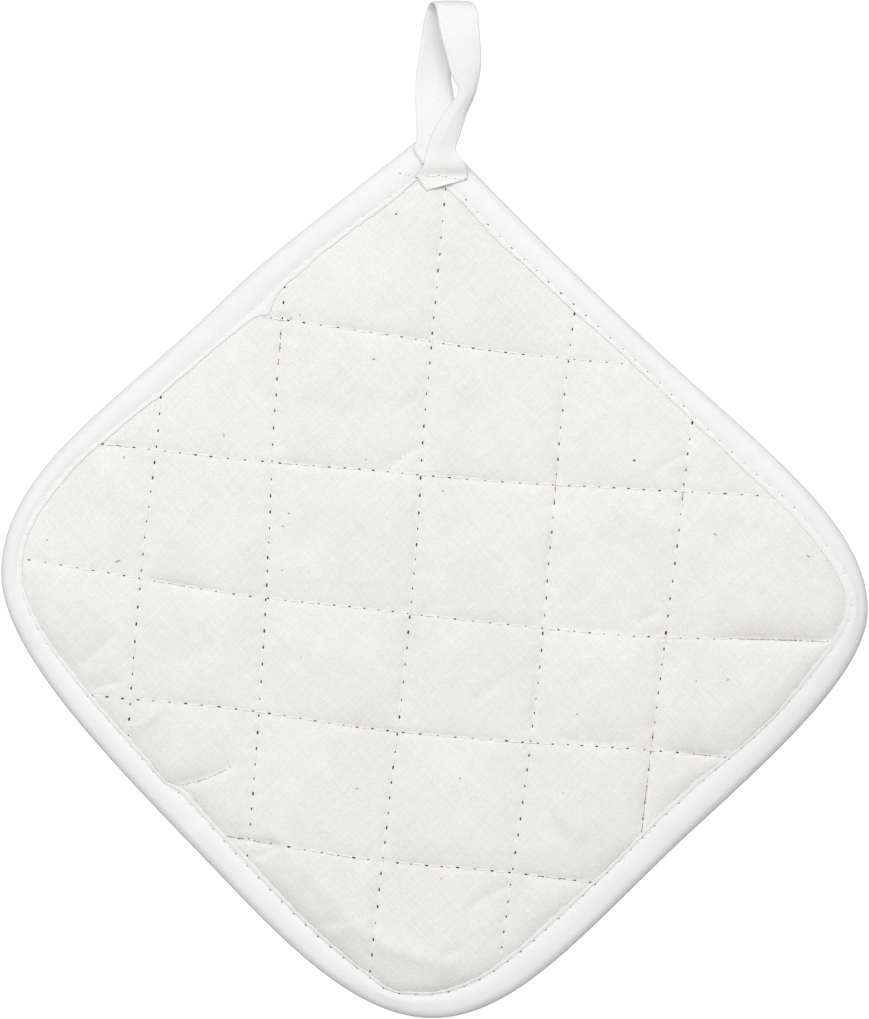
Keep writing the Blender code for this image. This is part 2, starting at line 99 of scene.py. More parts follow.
# Round the same way: how much of the panel's fall to the lip is a tight roll, how light
# the tape is painted (tone, painted shade that darkens it most at the right corner and
# along the lower right side), how open the topstitch's holes are, drawn as dark lenses of
# painted shade, and how much the panel lifts the lip.
Shade = namedtuple("Shade", "travelled roll tone hole lift")
SHADES = (
    Shade(0.0, 0.10, 1.0, 0.7, 0.1), Shade(60.0, 0.20, 1.0, 0.9, 0.5),
    Shade(140.0, 0.25, 1.0, 0.6, 0.5), Shade(172.0, 0.35, 0.97, 0.4, 0.8),
    Shade(196.0, 0.55, 0.93, 0.3, 1.5), Shade(222.0, 0.45, 0.935, 0.5, 1.6),
    Shade(260.0, 0.35, 0.965, 0.7, 1.5), Shade(330.0, 0.35, 0.98, 0.8, 1.8),
    Shade(378.0, 0.50, 0.99, 0.9, 2.0), Shade(400.0, 0.60, 1.0, 1.0, 2.0),
    Shade(445.0, 0.50, 1.0, 0.8, 2.0), Shade(485.0, 0.30, 1.0, 0.5, 2.0),
    Shade(545.0, 0.20, 1.0, 0.45, 1.3), Shade(590.0, 0.0, 0.98, 0.15, 1.25),
    Shade(690.0, 0.0, 0.975, 0.35, 1.25), Shade(724.0, 0.10, 0.99, 0.5, 0.2),
)

# Quilting lines: where each one lies at six places along its length. They run on,
# straight, as far as the binding on both sides.
UPRIGHT_AT_Y = (-115.0, -80.0, -45.0, -10.0, 25.0, 60.0)
UPRIGHT_X = (
    (-91.4, -88.9, -86.5, -83.3, -79.1, -77.2),
    (-55.2, -52.0, -49.5, -47.6, -46.0, -43.3),
    (-16.5, -12.5, -8.5, -5.2, -2.9, 0.3),
    (20.8, 25.8, 30.2, 33.3, 36.4, 40.6),
    (57.0, 60.9, 65.2, 69.6, 74.0, 80.7),
)
LEVEL_AT_X = (-95.0, -57.0, -19.0, 19.0, 57.0, 95.0)
LEVEL_Y = (
    (-87.6, -94.2, -100.4, -103.9, -108.7, -114.4),
    (-53.7, -57.2, -62.8, -66.3, -68.7, -72.2),
    (-18.0, -24.3, -28.5, -32.8, -36.3, -37.4),
    (18.8, 14.5, 11.3, 8.0, 5.9, 3.9),
    (61.8, 56.4, 50.9, 45.3, 41.5, 38.0),
)
LINE_PITCH = 38.4
LINES = len(UPRIGHT_X)

# Creases drawn across the cells: a trough where the rise is negative, a ridge
# where it is positive. "Bow" bends one sideways at its middle, "lean" widens its left side
# and narrows its right, and "line" is the size of the dark line painted as shadow along its
# bottom, which is sharp where there is one.
Crease = namedtuple("Crease", "name x0 y0 x1 y1 bow half_width rise lean line")
CREASES = (
    Crease("pinch by the middle crossing", -14.5, 10.8, -4.7, 17.6, 0.4, 1.1, -0.80, 0.35, 0.18),
    Crease("second pinch above it", -14.8, 26.0, -4.0, 33.0, -0.5, 1.3, -0.45, 0.3, 0.08),
    Crease("dragged fold, lower left", -76.3, -79.4, -56.6, -72.4, -1.5, 1.3, -1.15, 0.4, 0.34),
    Crease("drag near the left corner", -101.2, -45.5, -91.1, -35.4, 0.3, 1.3, -0.60, 0.2, 0.06),
    Crease("drag below it", -99.3, -52.1, -88.5, -49.5, 0.3, 1.3, -0.50, 0.3, 0.06),
    Crease("ridge under the first crossing", -88.0, -63.3, -75.5, -55.0, -0.8, 1.3, 0.50, -0.2, 0.0),
    Crease("slack, upper right", 41.2, 20.5, 55.2, 31.0, 1.0, 2.6, 0.45, 0.0, 0.0),
    Crease("drag above the right crossing", 57.0, -33.8, 65.3, -29.2, 0.5, 1.3, -0.60, 0.3, 0.1),
    Crease("slack below the middle", 9.3, -57.9, 22.5, -47.6, 0.8, 1.8, -0.55, 0.3, 0.05),
    Crease("drag above the bottom corner", 8.2, -116.7, 21.6, -108.2, 0.9, 1.4, -0.60, 0.4, 0.05),
    Crease("tuck at the lower left side", -53.2, -101.2, -44.0, -97.0, 0.4, 1.4, -0.70, 0.4, 0.08),
    Crease("tuck nearer the bottom", -34.3, -119.9, -24.0, -118.5, 0.4, 1.2, -0.50, 0.4, 0.06),
    Crease("short drag at the bottom", 1.6, -128.8, 8.6, -126.4, 0.3, 1.2, -0.50, 0.3, 0.0),
    Crease("drag in the right row", 61.0, 9.4, 72.2, 15.6, 0.5, 1.3, -0.45, 0.3, 0.06),
    Crease("long slack, lower right", 30.3, -83.4, 39.0, -97.8, -1.2, 2.8, -0.45, 0.0, 0.0),
    Crease("soft wave, lower middle", -44.3, -40.4, -30.0, -54.7, 1.4, 3.0, -0.32, 0.0, 0.0),
    Crease("soft wave, left", -77.4, -44.7, -63.0, -37.5, -1.4, 3.0, -0.32, 0.0, 0.0),
    Crease("soft wave, upper left", -40.4, 31.5, -24.0, 24.0, 1.5, 3.4, -0.28, 0.0, 0.0),
    Crease("soft wave, middle", 3.5, -9.0, 17.0, 2.0, -1.2, 3.2, -0.25, 0.0, 0.0),
    Crease("soft wave, right", 78.0, -14.0, 96.0, -6.0, 1.2, 3.2, -0.25, 0.0, 0.0),
    Crease("roll inside the lower left lip", -49.0, -90.0, -20.0, -121.0, 0.0, 4.5, 1.0, 0.0, 0.0),
    Crease("roll inside the bottom lip", -28.0, -117.5, 6.0, -131.5, -1.5, 3.8, 1.2, 0.0, 0.0),
    Crease("swell, right of the middle", 34.0, -41.0, 64.0, -44.0, 0.0, 9.0, 0.9, 0.0, 0.0),
    Crease("drag towards the right corner", 80.0, -36.8, 116.0, -37.7, 0.0, 1.6, -0.80, 0.6, 0.25),
    Crease("overhang above the third line", 33.5, -32.4, 58.0, -34.4, -1.0, 1.5, -0.45, 0.5, 0.1),
    Crease("overhang above the fourth line", 32.0, -65.2, 58.0, -66.8, -0.8, 1.5, -0.50, 0.5, 0.1),
    Crease("overhang, right of the fourth line", 62.0, -68.4, 87.0, -71.7, 0.0, 1.5, -0.55, 0.5, 0.2),
    Crease("ridge, right of the long slack", 33.0, -80.0, 42.0, -95.0, -1.0, 1.6, 0.45, 0.0, 0.0),
    Crease("wave, upper right", 48.0, 24.0, 62.0, 38.0, 0.8, 2.0, -0.35, 0.3, 0.0),
)

# Stretches of a quilting line where the thread is drawn tight and the cloth sinks in:
# which line, between which places along it, and how deep.
Pull = namedtuple("Pull", "is_level index start end depth")
PULLS = (
    Pull(False, 1, 37.0, 59.0, 0.9), Pull(False, 1, 14.0, 30.0, 0.4),
    Pull(False, 2, -62.0, -34.0, 0.5), Pull(False, 2, -130.0, -118.0, 0.5),
    Pull(False, 3, -2.0, 16.0, 0.9), Pull(False, 3, -66.0, -4.0, 0.5),
    Pull(False, 4, -95.0, -57.0, 0.9), Pull(False, 4, -4.0, 13.0, 0.8),
    Pull(True, 0, -62.0, -43.0, 0.9), Pull(True, 0, 23.0, 47.0, 0.8),
    Pull(True, 1, 67.0, 88.0, 0.8), Pull(True, 1, -30.0, 20.0, 0.3),
    Pull(True, 2, 80.0, 119.0, 0.95), Pull(True, 2, -82.0, -63.0, 0.9),
    Pull(True, 3, -98.0, -85.0, 0.9), Pull(True, 3, -46.0, -34.0, 0.9),
    Pull(True, 4, -34.0, 8.0, 0.3),
)

# The panel's edge, under the binding: its heights above the surface that the holder lies
# on, and how far in it is rounded. The binding's top is as in its solid.
PAD_EDGE_TOP = 3.7
PAD_EDGE_BOTTOM = 1.3
PAD_RIM_INSET = 1.7
PAD_RIM_INSET_FLAT = 3.0
PAD_RIM_TAPER = 0.6
CROWN_SAG = 2.3
BINDING_TOP = 5.0

# Hanging loop: the two edges of the folded tape at each place along it, from the end
# tucked under the tack, up the lower strand, over the fold and down the upper strand.
# "Ridge" is how far a lengthwise fold stands up along the strand's middle, and "arch" how
# far the tape bows up between its edges.
LoopRow = namedtuple("LoopRow",
                     "name left_x left_y left_z right_x right_y right_z ridge arch")
LOOP = (
    LoopRow("tucked end", -3.4, 99.2, 5.8, 6.6, 99.6, 5.8, 0.0, 0.00),
    LoopRow("root", -5.9, 103.2, 5.8, 4.4, 102.9, 5.8, 0.0, 0.00),
    LoopRow("over the rim", -5.2, 106.4, 5.8, 5.3, 106.6, 5.8, 0.0, 0.00),
    LoopRow("past the corner", -5.3, 111.8, 4.6, 5.2, 112.0, 4.6, 0.1, 0.10),
    LoopRow("lower strand, low", -5.5, 117.6, 2.6, 5.6, 117.6, 2.6, 0.2, 0.30),
    LoopRow("lower strand, middle", -5.4, 124.1, 1.4, 4.7, 124.6, 1.4, 0.2, 0.30),
    LoopRow("lower strand, high", -4.4, 131.1, 1.3, 5.6, 132.1, 1.3, 0.1, 0.20),
    LoopRow("rising", -3.3, 139.1, 2.2, 7.0, 139.8, 2.2, 0.0, 0.20),
    LoopRow("into the fold", -2.1, 143.8, 3.8, 8.6, 144.0, 3.8, 0.0, 0.20),
    LoopRow("top of the fold", -0.9, 145.4, 7.0, 10.6, 145.4, 7.0, 0.0, 0.15),
    LoopRow("out of the fold", 0.4, 143.9, 10.1, 12.3, 143.0, 10.1, 0.0, 0.20),
    LoopRow("upper strand, high", 1.4, 138.1, 11.3, 12.9, 137.6, 11.3, 0.1, 0.25),
    LoopRow("upper strand, middle", 2.6, 133.1, 11.6, 13.2, 133.3, 11.4, 0.1, 0.40),
    LoopRow("curling", 4.6, 125.5, 11.2, 13.2, 126.7, 10.7, 0.2, 0.60),
    LoopRow("narrowest", 6.7, 120.1, 10.4, 11.9, 120.1, 9.2, 0.2, 0.70),
    LoopRow("crossing over", 4.7, 116.3, 9.3, 10.4, 116.2, 8.3, 0.3, 0.70),
    LoopRow("below the crossing", 2.4, 113.2, 8.6, 8.9, 112.6, 7.8, 0.5, 0.60),
    LoopRow("near the rim", -0.4, 108.3, 8.0, 7.3, 107.4, 7.4, 0.5, 0.50),
    LoopRow("start of the flare", -2.2, 103.1, 7.2, 6.2, 103.1, 7.2, 0.25, 0.25),
    LoopRow("tack row", -3.2, 98.5, 7.0, 8.8, 99.1, 6.9, 0.0, 0.05),
    LoopRow("below the tack", -4.8, 95.6, 6.0, 9.4, 96.4, 5.6, 0.0, 0.00),
    LoopRow("loose end", -2.3, 91.5, 5.9, 9.2, 94.7, 5.4, 0.0, 0.00),
)
LOOP_THICKNESS = 1.0
LOOP_END_THICKNESS = 0.35
LOOP_END_TAPER = 9.0


# Smooth curves, the outline and the quilting lines ----------------------------------

def blend(low, high, share):
    """Go smoothly from one value to another."""
    return low + (high - low) * (0.5 - 0.5 * np.cos(np.pi * np.clip(share, 0.0, 1.0)))


def catmull_rom(before, start, end, after, share):
    """Point on the smooth curve between start and end."""
    square = share * share
    cube = square * share
    return 0.5 * (
        2.0 * start
        + (end - before) * share
        + (2.0 * before - 5.0 * start + 4.0 * end - after) * square
        + (3.0 * start - before - 3.0 * end + after) * cube
    )


def heading_vector(degrees):
    """Unit vector in the plane, anticlockwise from +X."""
    return np.array((math.cos(math.radians(degrees)), math.sin(math.radians(degrees))))


def trace_outline():
    """Closely spaced points along the outline, clockwise from the looped corner."""
    points = []
    share = np.linspace(0.0, 1.0, BEZIER_STEPS)[:-1, None]
    for anchor, following in zip(OUTLINE, OUTLINE[1:] + OUTLINE[:1]):
        start = np.array((anchor.x, anchor.y))
        end = np.array((following.x, following.y))
        leave = start + heading_vector(anchor.heading_out) * anchor.reach_out
        arrive = end - heading_vector(following.heading_in) * following.reach_in
        rest = 1.0 - share
        points.append(rest ** 3 * start + 3 * rest ** 2 * share * leave
                      + 3 * rest * share ** 2 * arrive + share ** 3 * end)
    return np.vstack(points)


OUTLINE_POINTS = trace_outline()
CLOSED_POINTS = np.vstack((OUTLINE_POINTS, OUTLINE_POINTS[:1]))
OUTLINE_STEPS = np.linalg.norm(np.diff(CLOSED_POINTS, axis=0), axis=1)
OUTLINE_AT = np.concatenate(([0.0], np.cumsum(OUTLINE_STEPS)))
PERIMETER = float(OUTLINE_AT[-1])


def lip_values(travelled):
    """Smooth values of the binding's table at distances round the outline."""
    table = np.array(LIP)
    places = np.concatenate((table[-1:, 0] - PERIMETER, table[:, 0],
                             table[:2, 0] + PERIMETER))
    values = np.vstack((table[-1:], table, table[:2]))[:, 1:]
    start = np.clip(np.searchsorted(places, travelled, side="right") - 1, 1, len(LIP))
    step = places[start + 1] - places[start]
    share = ((travelled - places[start]) / step)[:, None]
    return catmull_rom(values[start - 1], values[start], values[start + 1],
                       values[start + 2], share)


class Edge:
    """Places along the outline: their points, inward and mitre directions, tape width."""

    def __init__(self, travelled):
        """Work out everything at these distances from the looped corner."""
        self.travelled = np.mod(travelled, PERIMETER)
        segment = np.searchsorted(OUTLINE_AT, self.travelled, side="right") - 1
        segment = np.clip(segment, 0, len(OUTLINE_STEPS) - 1)
        share = (self.travelled - OUTLINE_AT[segment]) / OUTLINE_STEPS[segment]
        start, end = CLOSED_POINTS[segment], CLOSED_POINTS[segment + 1]
        along = (end - start) / OUTLINE_STEPS[segment][:, None]
        self.point = start + (end - start) * share[:, None]
        self.tape, self.stitch, self.crisp = lip_values(self.travelled).T
        self.tape = self.tape + LIP_WANDER * soft_noise(self.point, *LIP_WANDER_WAVES)
        # Tone is painted shade: it darkens the tape's colour where the tape should lie in shade.
        places, *values = np.array(SHADES).T
        self.roll, self.tone, self.hole, lift = [
            np.interp(self.travelled, places, value, period=PERIMETER) for value in values]
        self.lift = lift * LIP_LIFT
        self.inward = np.column_stack((along[:, 1], -along[:, 0]))
        first_half = self.travelled <= PERIMETER / 2
        self.away = np.where(first_half[:, None], along, -along)
        corner = np.minimum(self.travelled, PERIMETER - self.travelled)
        lean = np.clip(1.0 - corner / MITRE_REACH, 0.0, 1.0)
        self.lean = lean * mitre_slope()

    def lifted(self, inset):
        """Rise of the lip at these insets, where the panel's edge pushes it up."""
        foot = self.stitch - LIFT_FOOT
        return self.lift * blend(0.0, 1.0, (inset - foot) / (self.tape - foot))

    def inset(self, inset):
        """Points at these insets; the sections fan out towards the corner's mitre."""
        inset = np.asarray(inset)[:, None]
        return self.point + self.inward * inset + self.away * (inset * self.lean[:, None])


def mitre_slope():
    """Shift along a side, per unit of inset, that brings it to the corner's mitre."""
    corner = OUTLINE[0]
    inside_angle = 180.0 - (corner.heading_in - corner.heading_out)
    return 1.0 / math.tan(math.radians(inside_angle / 2))


def outline_foot(points, batch=6000):
    """Inset of each point from the outline, and how far round its nearest place is."""
    starts, ends = CLOSED_POINTS[:-1], CLOSED_POINTS[1:]
    steps = ends - starts
    lengths = OUTLINE_STEPS ** 2
    insets = np.empty(len(points))
    travelled = np.empty(len(points))
    for first in range(0, len(points), batch):
        part = points[first:first + batch, None, :]
        offset = part - starts[None]
        share = np.clip((offset * steps[None]).sum(2) / lengths[None], 0.0, 1.0)
        gap = offset - steps[None] * share[..., None]
        distance = (gap ** 2).sum(2)
        nearest = distance.argmin(1)
        rows = np.arange(len(nearest))
        step, away = steps[nearest], offset[rows, nearest]
        side = step[:, 0] * away[:, 1] - step[:, 1] * away[:, 0]
        insets[first:first + batch] = np.sqrt(distance[rows, nearest]) * np.where(side > 0, -1, 1)
        travelled[first:first + batch] = (
            OUTLINE_AT[nearest] + share[rows, nearest] * OUTLINE_STEPS[nearest])
    return insets, travelled


def line_position(stations, values, place):
    """Smooth curve through a quilting line's six places, straight beyond the ends."""
    stations = np.asarray(stations)
    first, last = values[0], values[-1]
    padded = np.array((2 * first - values[1],) + tuple(values) + (2 * last - values[-2],))
    segment = np.clip(np.searchsorted(stations, place, side="right") - 1, 0, len(values) - 2)
    span = stations[segment + 1] - stations[segment]
    share = (place - stations[segment]) / span
    held = np.clip(share, 0.0, 1.0)
    curve = catmull_rom(padded[segment], padded[segment + 1], padded[segment + 2],
                        padded[segment + 3], held)
    slope = padded[segment + 2] - padded[segment + 1]
    return curve + slope * (share - held)


def line_family(stations, table, index, place):
    """Line number index of a family; numbers past the ends are spaced evenly on."""
    nearest = min(max(index, 0), len(table) - 1)
    return line_position(stations, table[nearest], place) + (index - nearest) * LINE_PITCH


def upright_x(index, y):
    """X of an upright quilting line at height y."""
    return line_family(UPRIGHT_AT_Y, UPRIGHT_X, index, y)


def level_y(index, x):
    """Y of a level quilting line at x."""
    return line_family(LEVEL_AT_X, LEVEL_Y, index, x)


def soft_noise(points, size, seed):
    """Smooth random height between about -1 and 1, with waves of about this size."""
    rng = np.random.default_rng(seed)
    count = int(2 * NOISE_REACH / size) + 5
    grid = rng.uniform(-1.0, 1.0, (count, count))
    place = (points + NOISE_REACH) / size + 1.0
    cell = np.clip(place.astype(int), 1, count - 3)
    share = place - cell
    rows = []
    for step in range(-1, 3):
        across = cell[:, 1] + step
        rows.append(catmull_rom(grid[cell[:, 0] - 1, across], grid[cell[:, 0], across],
                                grid[cell[:, 0] + 1, across], grid[cell[:, 0] + 2, across],
                                share[:, 0]))
    return catmull_rom(*rows, share[:, 1])


# Values that shape the cloth --------------------------------------------------------

# The panel's mesh: steps over a cell, crowded towards the quilting lines, and the faces
# that are cut along the binding's lip.
CELL_STEPS = 44
SEAM_CROWDING = 0.3
CELLS_BEYOND = 2
CROSSING_PASSES = 7
PANEL_GRID_INSET = 2.4
LIP_GAP = 0.05
LIP_CUT = 1.3
THIN_FACE = 0.04
THIN_COST = 10.0

# Quilting lines, which run on under the lip, and how unevenly their holes are spaced.
SEAM_REACH = 150.0
SEAM_STEP = 0.5
SEAM_UNDER_LIP = 3.4
HOLE_WANDER = 0.10
PITCH_DRIFT = 1.3
PITCH_DRIFT_LENGTH = 70.0

# How the panel's face falls to the quilting lines: a broad shoulder and a short step down.
SHOULDER_LENGTH = 6.0
STEP_DOWN_LENGTH = 0.9
STEP_DOWN_SHARE = 0.11
FACE_SEAM_DEPTH = 0.42
BACK_SEAM_DEPTH = 0.9
CROWN_WANDER = 0.05

# How it falls to the binding's lip, lifts it, and fits closely under it where it is crisp.
LIP_PUFF_LENGTH = 5.6
LIP_PUFF_SPREAD = 1.4
LIP_ROLL_LENGTH = 1.8
LIP_LIFT = 0.5
LIFT_FOOT = 0.35
LIP_FIT_RISE = 0.30
LIP_FIT_LENGTH = 0.9
SNUG_FROM = 1.1
SNUG_TO = 0.8
SNUG_LEAST = 0.1

# Lumps in the wadding, ripples and wrinkles in the cloth, and puckers beside the holes.
LUMP_RISE = 0.22
RIPPLE_RISE = 0.10
WRINKLE_RISE = 0.11
GRAIN_STRETCH = np.array(((0.25, 0.7), (0.25, -0.7)))
LUMP_ONSET = 1.6
HOLE_RADIUS = 0.9
PUCKER_REACH = 2.6
PUCKER_RISE = 0.10
PUCKER_WANDER = 1.1
EDGE_CALM = 2.0
BACK_LUMPS = 0.5
BACK_PUCKER = 0.4

# Creases, and the groove and the wider waist of a quilting line that is drawn tight.
CREASE_GAIN = 1.35
CREASE_POWER = 1.5
CREASE_TAPER = 0.6
# Spacing of the dark lenses painted as shadow along a sharp crease's bottom, and the share of its
# length left bare at each end.
CREASE_LINE_STEP = 1.6
CREASE_LINE_END = 0.04
PULL_FADE = 5.0
PULL_GROOVE = 0.8
PULL_GROOVE_SHARE = 0.4
PULL_WAIST = 4.0
PULL_WAIST_POWER = 1.5

# Soft noises: how long their waves are, and the seed of each. Every quilting line's
# pucker has a seed of its own, and so have its needle holes.
NOISE_REACH = 160.0
CROWN_WAVES = (45.0, 8)
LUMP_WAVES = (21.0, 5)
RIPPLE_WAVES = (7.5, 6)
WRINKLE_WAVES = (5.0, 7)
LIP_WANDER_WAVES = (5.5, 24)
LIP_RISE_WAVES = (4.5, 25)
TAPE_WAVES = (6.5, 21)
TAPE_FINE_WAVES = (2.6, 22)
TAPE_DRAG_WAVES = (3.1, 23)
LOOP_WAVES = (4.0, 31)
PUCKER_WAVE = 9.0
PUCKER_SEED = 40
HOLE_SEED = 70
HOLE_SEED_LEVEL = 80

# Section of the folded tape from its slot, over the lip and crown to the outer edge.
# Inset = a share of the tape's width, a share of the stitches' inset, and a distance.
TapeRow = namedtuple("TapeRow", "name lip stitch inset height steps")
TAPE_SECTION = (
    TapeRow("slot root", 0.0, 0.0, 1.0, 2.5, 1),
    TapeRow("slot corner", 0.0, 0.0, 1.45, 3.45, 1),
    TapeRow("slot roof", 0.0, 0.0, 2.6, 4.0, 1),
    TapeRow("slot roof, middle", 0.0, 0.5, 1.5, 4.02, 1),
    TapeRow("under the stitches", 0.0, 1.0, -0.2, 4.02, 1),
    TapeRow("under the lip", 1.0, 0.0, -0.25, 4.03, 1),
    TapeRow("lip, lower edge", 1.0, 0.0, -0.02, 4.08, 1),
    TapeRow("lip front", 1.0, 0.0, 0.0, 4.22, 1),
    TapeRow("lip top", 1.0, 0.0, -0.15, 4.42, 2),
    TapeRow("ledge, foot", 0.62, 0.38, 0.0, 4.42, 1),
    TapeRow("ledge, top", 0.5, 0.5, 0.0, 4.54, 2),
    TapeRow("before the stitches", 0.2, 0.8, 0.0, 4.58, 2),
    TapeRow("stitch groove", 0.0, 1.0, 0.0, 4.50, 2),
    TapeRow("after the stitches", 0.0, 1.0, -0.55, 4.80, 2),
    TapeRow("inner crown", 0.0, 0.8, 0.0, 5.0, 2),
    TapeRow("crown", 0.0, 0.45, 1.2, 5.12, 2),
    TapeRow("outer crown", 0.0, 0.0, 2.6, 4.82, 2),
    TapeRow("shoulder", 0.0, 0.0, 1.4, 4.36, 2),
    TapeRow("side", 0.0, 0.0, 0.38, 3.4, 2),
    TapeRow("outer edge", 0.0, 0.0, 0.0, 2.5, 2),
)
TAPE_STATIONS = 1100
SLOT_TOP = 4.15
UV_SCALE = 0.1

# The tape's lip, scalloped between the stitches, its sewn groove, and its ripples.
LIP_WANDER = 0.22
LIP_SCALLOP = 0.13
LIP_SCALLOP_RISE = 0.05
SCALLOP_DEPTH = 0.7
LIP_SHARE_LEAST = 0.1
LIP_BAND = 0.6
LIP_RISE_WANDER = 0.07
LIP_SINK = 0.13
LEDGE_LENGTH = 1.6
GROOVE_BAND = 0.9
GROOVE_FILL = 0.2
FILL_BAND = 0.5
STITCH_PULL = 0.10
TAPE_RIPPLE = 0.10
TAPE_FINE_RIPPLE = 0.06
TAPE_DRAG = 0.05

# The loop's mesh, the fold along its middle and the row sewn along its edges.
LOOP_ROW_STEPS = 8
LOOP_ACROSS = 28
RIDGE_AT = -0.15
RIDGE_POWER = 1.5
EDGE_GROOVE = 0.12
EDGE_GROOVE_AT = 0.8
EDGE_GROOVE_WIDTH = 0.09
LOOP_EDGE_POWER = 10
LOOP_EDGE_LEAST = 0.35
LOOP_RIPPLE = 0.10
LOOP_NOISE_Y = 120.0
LOOP_NOISE_TURN = 3.0
LOOP_MIDDLE = 60
FLAT_ANGLE = 0.002

# Needlework: how fine the threads and the holes' lenses are (dark lenses painted as the
# shade down the holes), how far a stitch may stray from its line, and how far its ends sink
# in, as a share of the thread.
RAY_HEIGHT = 60.0
STITCH_STEPS = 6
STITCH_SIDES = 6
STITCH_STRAY = (1.0, 1.0, 0.3)
STITCH_SINK = 0.9
LENS_SEGMENTS = 8
LENS_RINGS = 4

# The stage, in metres, with the camera's sensor in millimetres. The picture's height is in
# pixels, and each of them shows this much of the plane that the camera is set for.
FLOOR_SIDE = 6.0
FLOOR_DROP = -0.0003
TABLE_DROP = -0.001
KEY_SIZE = (1.6, 1.2)
KEY_PLACE = (-0.2, 0.9, 1.9)
SENSOR = 36.0
CLIP_REACH = 4.0
FOCUS_PLANE = 0.004
PICTURE_HEIGHT = 1019
PIXEL_SIZE = 0.000287
VIEW_LENGTH = PICTURE_HEIGHT * PIXEL_SIZE


def taper(share):
    """One along the middle of a crease, fading to nothing at its two ends."""
    inside = np.clip(share, 0.0, 1.0)
    return np.sin(np.pi * inside) ** CREASE_TAPER * ((share > 0.0) & (share < 1.0))


def crease_height(points):
    """Height that the creases add to the panel's face."""
    height = np.zeros(len(points))
    for crease in CREASES:
        start = np.array((crease.x0, crease.y0))
        step = np.array((crease.x1, crease.y1)) - start
        length = np.linalg.norm(step)
        along = step / length
        left = np.array((-along[1], along[0]))
        offset = points - start
        share = offset @ along / length
        sideways = offset @ left - crease.bow * 4.0 * share * (1.0 - share)
        reach = np.abs(sideways) / (crease.half_width * (1.0 + crease.lean * np.sign(sideways)))
        power = 1.0 if crease.line > 0.0 else CREASE_POWER
        height += crease.rise * np.exp(-reach ** power) * taper(share)
    return CREASE_GAIN * height


def crease_lines():
    """Rows of places along the bottoms of the tight creases, with a size at each, for the dark lenses
    painted there as shadow.
    """
    rows = []
    for crease in CREASES:
        if crease.line > 0.0:
            start = np.array((crease.x0, crease.y0))
            step = np.array((crease.x1, crease.y1)) - start
            length = np.linalg.norm(step)
            left = np.array((-step[1], step[0])) / length
            share = np.linspace(CREASE_LINE_END, 1.0 - CREASE_LINE_END,
                                int(length / CREASE_LINE_STEP))[:, None]
            bow = crease.bow * 4.0 * share * (1.0 - share)
            rows.append((start + step * share + left * bow,
                         crease.line * taper(share)[:, 0]))
    return rows


class Seam:
    """One quilting line, from lip to lip, with its needle holes evenly spaced."""

    def __init__(self, is_level, index, pitch):
        """Follow the line and space its holes as near to the pitch as fits."""
        self.is_level = is_level
        self.index = index
        ruler = np.arange(-SEAM_REACH, SEAM_REACH, SEAM_STEP)
        across = level_y(index, ruler) if is_level else upright_x(index, ruler)
        points = np.column_stack((ruler, across) if is_level else (across, ruler))
        insets, travelled = outline_foot(points)
        inside = insets > Edge(travelled).tape - SEAM_UNDER_LIP
        self.points = points[inside]
        self.ruler = ruler[inside]
        steps = np.linalg.norm(np.diff(self.points, axis=0), axis=1)
        self.travelled = np.concatenate(([0.0], np.cumsum(steps)))
        self.pitch = self.travelled[-1] / round(self.travelled[-1] / pitch)

    def distance(self, points):
        """Distance from the line, measured straight across it."""
        if self.is_level:
            return points[:, 1] - level_y(self.index, points[:, 0])
        return points[:, 0] - upright_x(self.index, points[:, 1])

    def along(self, points):
        """How far along the line each point is, beyond its ends too."""
        place = points[:, 0] if self.is_level else points[:, 1]
        return np.interp(place, self.ruler, self.travelled)

    def pull(self, points, distance):
        """How deep the tight stretches of this line draw the cloth in."""
        place = points[:, 0] if self.is_level else points[:, 1]
        depth = np.zeros(len(points))
        for row in PULLS:
            if (row.is_level, row.index) == (self.is_level, self.index):
                depth += row.depth * (blend(0.0, 1.0, (place - row.start) / PULL_FADE)
                                      * blend(0.0, 1.0, (row.end - place) / PULL_FADE))
        groove = np.exp(-(distance / PULL_GROOVE) ** 2)
        waist = np.exp(-(distance / PULL_WAIST) ** PULL_WAIST_POWER)
        return depth * (PULL_GROOVE_SHARE * groove + (1.0 - PULL_GROOVE_SHARE) * waist)

    def holes(self):
        """The needle holes' places in the plan, a little unevenly spaced."""
        at = np.arange(round(self.travelled[-1] / self.pitch) + 1) * self.pitch
        rng = np.random.default_rng((HOLE_SEED_LEVEL if self.is_level else HOLE_SEED) + self.index)
        drift = np.sin(2.0 * np.pi * (at / PITCH_DRIFT_LENGTH + rng.random()))
        ends = np.sin(np.pi * at / at[-1])
        at += PITCH_DRIFT * drift * ends
        at[1:-1] += rng.normal(0.0, HOLE_WANDER, len(at) - 2)
        return np.column_stack([np.interp(at, self.travelled, self.points[:, axis])
                                for axis in (0, 1)])


def quilting_seams(sewing):
    """All ten quilting lines."""
    pitch = sewing.quilting_pitch / MM
    return [Seam(is_level, index, pitch) for is_level in (False, True) for index in range(LINES)]


def nearness(turn):
    """One at every needle hole and nothing midway, where a stitch is one full turn."""
    return (0.5 + 0.5 * np.cos(turn)) ** 2


